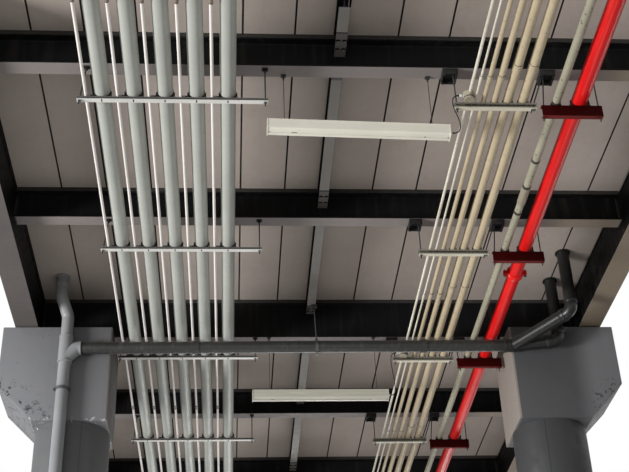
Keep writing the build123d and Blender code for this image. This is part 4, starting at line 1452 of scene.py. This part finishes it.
class BRIDGE_OT_lights(bpy.types.Operator):
    """Light fittings with end caps, seam, screws and slots, and the grippers of their wires"""
    bl_idname = "bridge.lights"
    bl_label = "Light fittings"

    def execute(self, context):
        housings, marks, grips = [], [], []
        fittings = solids("light_fittings")
        length, width, height = next(fitting.size for fitting in fittings if fitting.size.z < 0.09)
        screw = [(0.0008, -0.002), (0.0042, -0.0018), (0.0048, 0.002), (0.0008, 0.002)]
        for fitting in fittings:
            along = (fitting.right - fitting.left).normalized()
            up = Vector((-along.z, 0, along.x))
            centre = (fitting.left + fitting.right) / 2
            place = (Matrix.Translation(centre + up * height / 2)
                     @ Matrix((along, Vector(ALONG), up)).transposed().to_4x4())
            housings.append(placed(light_housing("housing", length, width, height), place))
            details = [turned("screw", screw, (x, 0.0005, -height), UP, 10, ring=True)
                       for x in (-length / 2 + 0.016, length / 2 - 0.016, length * 0.36)]
            slot = start_block("slot", (-length * 0.365, -0.004, -height - 0.0008),
                               (-length * 0.335, 0.003, -height + 0.004))
            marks.append(placed(join("marks", [*details, soften(slot, 0.0012, 1)]), place))
        gripper = [(0.001, 0), (0.009, 0), (0.009, 0.006), (0.006, 0.008), (0.006, 0.024), (0.0035, 0.030),
                   (0.001, 0.030)]
        ferrule = [(0.001, -0.030), (0.0045, -0.030), (0.0055, -0.024), (0.0055, -0.004), (0.001, -0.004)]
        for wire in solids("light_wires"):
            foot = Vector((wire.foot.x, wire.foot.y, wire.low.z))
            top = Vector((wire.foot.x, wire.foot.y, wire.high.z))
            grips += [turned("gripper", gripper, foot, UP, 14),
                      turned("ferrule", ferrule, above(top, -0.012), UP, 14),
                      soften(block_round("plate", above(top, -0.0025), (0.019, 0.016, 0.0025)), 0.0012, 1),
                      soften(block_round("arm", above(top, -0.0115), (0.006, 0.013, 0.0085)), 0.002)]
        finish_piece(join("light_housings", housings), "light_paint", "Light housing paint", "light_fittings")
        finish_piece(join("light_screws", marks), "light_paint", "Hanger black")
        finish_piece(join("wire_grippers", grips), "wire_steel", "Wire zinc")
        return {"FINISHED"}


class BRIDGE_OT_junction_boxes(bpy.types.Operator):
    """Round junction boxes with a screwed lid, pipe spouts and a cable connector"""
    bl_idname = "bridge.junction_boxes"
    bl_label = "Junction boxes"

    def execute(self, context):
        pipe = solids("cream_pipes")[0]
        radius = pipe.radius
        spout = [(radius, 0.030), (radius + 0.007, 0.030), (radius + 0.007, 0.052), (radius + 0.005, 0.055),
                 (radius, 0.055)]
        bodies, connectors, seams = [], [], []
        for box in solids("junction_boxes"):
            x, y, level = pipe.middle.x, box.middle.y, pipe.middle.z
            wide = box.high.x - x
            low, high = box.low.z, box.high.z
            outline = [(0.002, low), (wide - 0.006, low), (wide - 0.001, low + 0.004),
                       (wide - 0.001, low + 0.010), (wide - 0.004, low + 0.011), (wide - 0.004, low + 0.013),
                       (wide, low + 0.014), (wide, high - 0.008), (wide - 0.008, high), (0.002, high)]
            parts = [turned("box", outline, (x, y, 0), UP, 40)]
            for side in PAIR:
                parts += [turned("spout", spout, (x, y, level), (0, side, 0), 24, ring=True),
                          *nuts_beside("lid_screw", (x, y + side * 0.022, low - 0.002), 0.022, 0.007, 0.003)]
            bodies.append(join("box", parts))
            # The black ring in the lid's seam is a painted shadow of the gap.
            seams.append(band("seam", (x, y, 0), UP, wide - 0.006, wide + 0.0004, low + 0.0085, low + 0.0155,
                              40))
            start = x - wide + 0.004
            outline = [(0.004, 0), (0.013, 0), (0.013, 0.006), (0.008, 0.007), (0.008, 0.014), (0.012, 0.015),
                       (0.012, 0.026), (0.010, 0.030), (0.004, start - box.low.x)]
            connectors.append(turned("connector", outline, (start, y, level), (-1, 0, 0), 20))
        finish_piece(join("round_boxes", bodies), "box_plastic", "Box plastic", "junction_boxes")
        finish_piece(join("box_seams", seams), "box_plastic", "Band black")
        finish_piece(join("box_connectors", connectors), "box_plastic", "Gland plastic")
        return {"FINISHED"}


# Drains, with the points where they turn and where they enter the deck

DRAIN_SIZE = 0.110
BRANCH_LEVEL = 6.892
DRAIN_TURNS = ((2.280, -2.870, 6.967), (2.272, -2.370, 6.924))
DRAIN_HEADS = ((2.280, -2.870, 7.576), (2.272, -2.370, 7.576))


def pipe_ring(name, point, direction, inner, wall, length):
    """Ring with rounded edges round a pipe, about a point on its axis."""
    half = length / 2
    near = [(inner - 0.001, -half), (inner + wall * 0.6, -half), (inner + wall, -half * 0.8)]
    return turned(name, near + mirrored(near), point, direction, 40, ring=True)


class BRIDGE_OT_drain_trim(bpy.types.Operator):
    """Beads and collars of the drains, their flanges under the deck, and the bolts of brackets and hanger"""
    bl_idname = "bridge.drain_trim"
    bl_label = "Drain trim"

    def execute(self, context):
        radius = DRAIN_SIZE / 2
        bead = radius + 0.008
        down, cross = solids("drain_downpipe")[0], whole("drain_cross_pipe")
        foot = Vector((down.foot.x, down.foot.y, 0))
        near = [pipe_ring("flange", above(down.head, -0.008), UP, radius, 0.014, 0.016),
                pipe_ring("collar", above(down.head, -0.085), UP, radius, 0.005, 0.05),
                pipe_ring("bead", above(foot, BRANCH_LEVEL + 0.112), UP, bead, 0.004, 0.012),
                pipe_ring("bead", above(foot, BRANCH_LEVEL - 0.143), UP, bead, 0.004, 0.012),
                pipe_ring("coupling", above(foot, 1.95), UP, radius, 0.006, 0.11),
                pipe_ring("coupling", above(foot, 4.85), UP, radius, 0.006, 0.11),
                pipe_ring("bead", (foot.x + 0.134, cross.middle.y, BRANCH_LEVEL + 0.001), ACROSS, bead, 0.004,
                          0.012)]
        finish_piece(join("downpipe_beads", near), "drain_plastic", "Downpipe paint")
        far = [pipe_ring("bead", (cross.high.x + 0.012, cross.middle.y, BRANCH_LEVEL + 0.02), ACROSS, bead, 0.004,
                         0.014)]
        joint = Vector((cross.high.x + 0.09, cross.middle.y, BRANCH_LEVEL + 0.021))
        for head, turn in zip(DRAIN_HEADS, DRAIN_TURNS):
            run = (Vector(turn) - joint).normalized()
            far += [pipe_ring("flange", above(head, -0.008), UP, radius, 0.014, 0.016),
                    pipe_ring("collar", above(turn, 0.098), UP, radius, 0.006, 0.05),
                    pipe_ring("collar", Vector(turn) - run * 0.098, run, radius, 0.006, 0.05)]
        finish_piece(join("inlet_collars", far), "drain_plastic", "Drain paint")
        supports = solids("drain_supports")
        bolts = []
        for bracket in [solid for solid in supports if solid.middle.x < solids("drain_inlets")[0].low.x - 2]:
            for side in PAIR:
                spot = Vector((bracket.middle.x + side * (radius + 0.012), foot.y, bracket.middle.z))
                bolts += [soften(block_round("ear", spot, (0.012, 0.006, 0.015)), 0.0015, 1),
                          tipped_nut("ear_bolt", spot - Vector((0, 0.006, 0)), math.pi / 2, 0.012, 0.006)]
        hanger = next(solid for solid in supports if abs(solid.middle.x) < 0.3)
        for side in PAIR:
            spot = hanger.head + Vector((side * 0.018, 0, -0.019))
            bolts.append(soften(block_round("jaw", spot, (0.009, 0.016, 0.015)), 0.003))
        for level in (BRANCH_LEVEL + 0.010 + radius + 0.014, BRANCH_LEVEL + 0.010 - radius - 0.026):
            bolts.append(nut("ring_nut", (hanger.middle.x, cross.middle.y, level), 0.024, 0.014))
        finish_piece(join("bracket_bolts", bolts), "wire_steel", "Support zinc")
        return {"FINISHED"}


# Stage

FLOOR_TINT, FLOOR_ROUGHNESS = (0.62, 0.62, 0.61, 1), 0.9
WORLD_STRENGTH = 0.44

# Lamps: name, place, target, width, height, spread in degrees and power in watts
LAMPS = (
    ("near_lamp", (-1.0, -15.0, 3.0), (0.0, -3.0, 7.2), 6.0, 6.0, 180, 90),
    ("left_lamp", (-15.0, -10.0, 1.7), (0.0, -3.2, 7.0), 5.0, 2.8, 76, 680),
    ("right_lamp", (12.0, 8.0, 2.4), (1.0, 2.0, 7.0), 10.0, 2.0, 76, 70),
    ("under_lamp", (0.0, -1.0, 0.3), (0.0, -1.0, 7.2), 3.0, 9.0, 180, 90),
    ("far_lamp", (2.0, 14.0, 2.4), (0.0, 4.0, 7.2), 6.0, 3.6, 76, 105),
)


class BRIDGE_OT_stage(bpy.types.Operator):
    """Plain pale floor, white surroundings and soft light"""
    bl_idname = "bridge.stage"
    bl_label = "Stage"

    def execute(self, context):
        context.scene.view_settings.view_transform = "Standard"
        clear_selection()
        bpy.ops.mesh.primitive_plane_add(size=120)
        floor = bpy.context.object
        floor.name = "floor"
        stone = bpy.data.materials.new("Stage floor")
        stone.use_nodes = True
        shader = stone.node_tree.nodes["Principled BSDF"].inputs
        shader["Base Color"].default_value = FLOOR_TINT
        shader["Roughness"].default_value = FLOOR_ROUGHNESS
        floor.data.materials.append(stone)
        world = bpy.data.worlds.new("Soft daylight")
        world.use_nodes = True
        tree = world.node_tree
        tree.nodes.clear()
        rays = tree.nodes.new("ShaderNodeLightPath").outputs
        seen = calc(tree, "MAXIMUM", calc(tree, "MAXIMUM", rays["Is Camera Ray"], rays["Is Glossy Ray"]),
                    rays["Is Transmission Ray"])
        light, white = (shader_node(tree, "ShaderNodeBackground", {"Color": (1, 1, 1, 1), "Strength": strength})
                        for strength in (WORLD_STRENGTH, 1.0))
        mixed = shader_node(tree, "ShaderNodeMixShader", {0: seen, 1: light.outputs[0], 2: white.outputs[0]})
        shader_node(tree, "ShaderNodeOutputWorld", {"Surface": mixed.outputs[0]})
        context.scene.world = world
        for name, place, target, wide, tall, spread, power in LAMPS:
            clear_selection()
            bpy.ops.object.light_add(type="AREA", location=place)
            lamp = bpy.context.object
            lamp.name = name
            lamp.data.shape = "RECTANGLE"
            lamp.data.size = wide
            lamp.data.size_y = tall
            lamp.data.spread = math.radians(spread)
            lamp.data.energy = power
            lamp.rotation_euler = (Vector(target) - Vector(place)).to_track_quat("-Z", "Y").to_euler()
        return {"FINISHED"}


class BRIDGE_PT_panel(bpy.types.Panel):
    """Steps of the pipe bridge, in the order they are made"""
    bl_idname = "BRIDGE_PT_panel"
    bl_label = "Pipe bridge"
    bl_space_type = "VIEW_3D"
    bl_region_type = "UI"
    bl_category = "Pipe bridge"

    def draw(self, context):
        for operator in OPERATORS:
            self.layout.operator(operator.bl_idname)
        for group in (context.scene.bridge_sizes, context.scene.bridge_colours):
            for key in group.bl_rna.properties.keys():
                if key not in ("rna_type", "name"):
                    self.layout.prop(group, key)


OPERATORS = (
    BRIDGE_OT_finishes, BRIDGE_OT_camera, BRIDGE_OT_cables, BRIDGE_OT_caps, BRIDGE_OT_columns, BRIDGE_OT_planks,
    BRIDGE_OT_beams, BRIDGE_OT_box_steel, BRIDGE_OT_welds, BRIDGE_OT_bolts, BRIDGE_OT_struts, BRIDGE_OT_channels,
    BRIDGE_OT_left_clamps, BRIDGE_OT_right_clamps, BRIDGE_OT_hangers, BRIDGE_OT_sockets, BRIDGE_OT_pale_joint,
    BRIDGE_OT_main_couplings, BRIDGE_OT_lights, BRIDGE_OT_junction_boxes, BRIDGE_OT_drain_trim, BRIDGE_OT_stage,
)
CLASSES = (BridgeSizes, BridgeColours, *OPERATORS, BRIDGE_PT_panel)


def register():
    for cls in CLASSES:
        bpy.utils.register_class(cls)
    bpy.types.Scene.bridge_sizes = PointerProperty(type=BridgeSizes)
    bpy.types.Scene.bridge_colours = PointerProperty(type=BridgeColours)


def unregister():
    del bpy.types.Scene.bridge_colours
    del bpy.types.Scene.bridge_sizes
    for cls in reversed(CLASSES):
        bpy.utils.unregister_class(cls)


def main():
    register()
    for operator in OPERATORS:
        step = operator.bl_idname.split(".")[1]
        getattr(bpy.ops.bridge, step)()


if __name__ == "__main__":
    main()
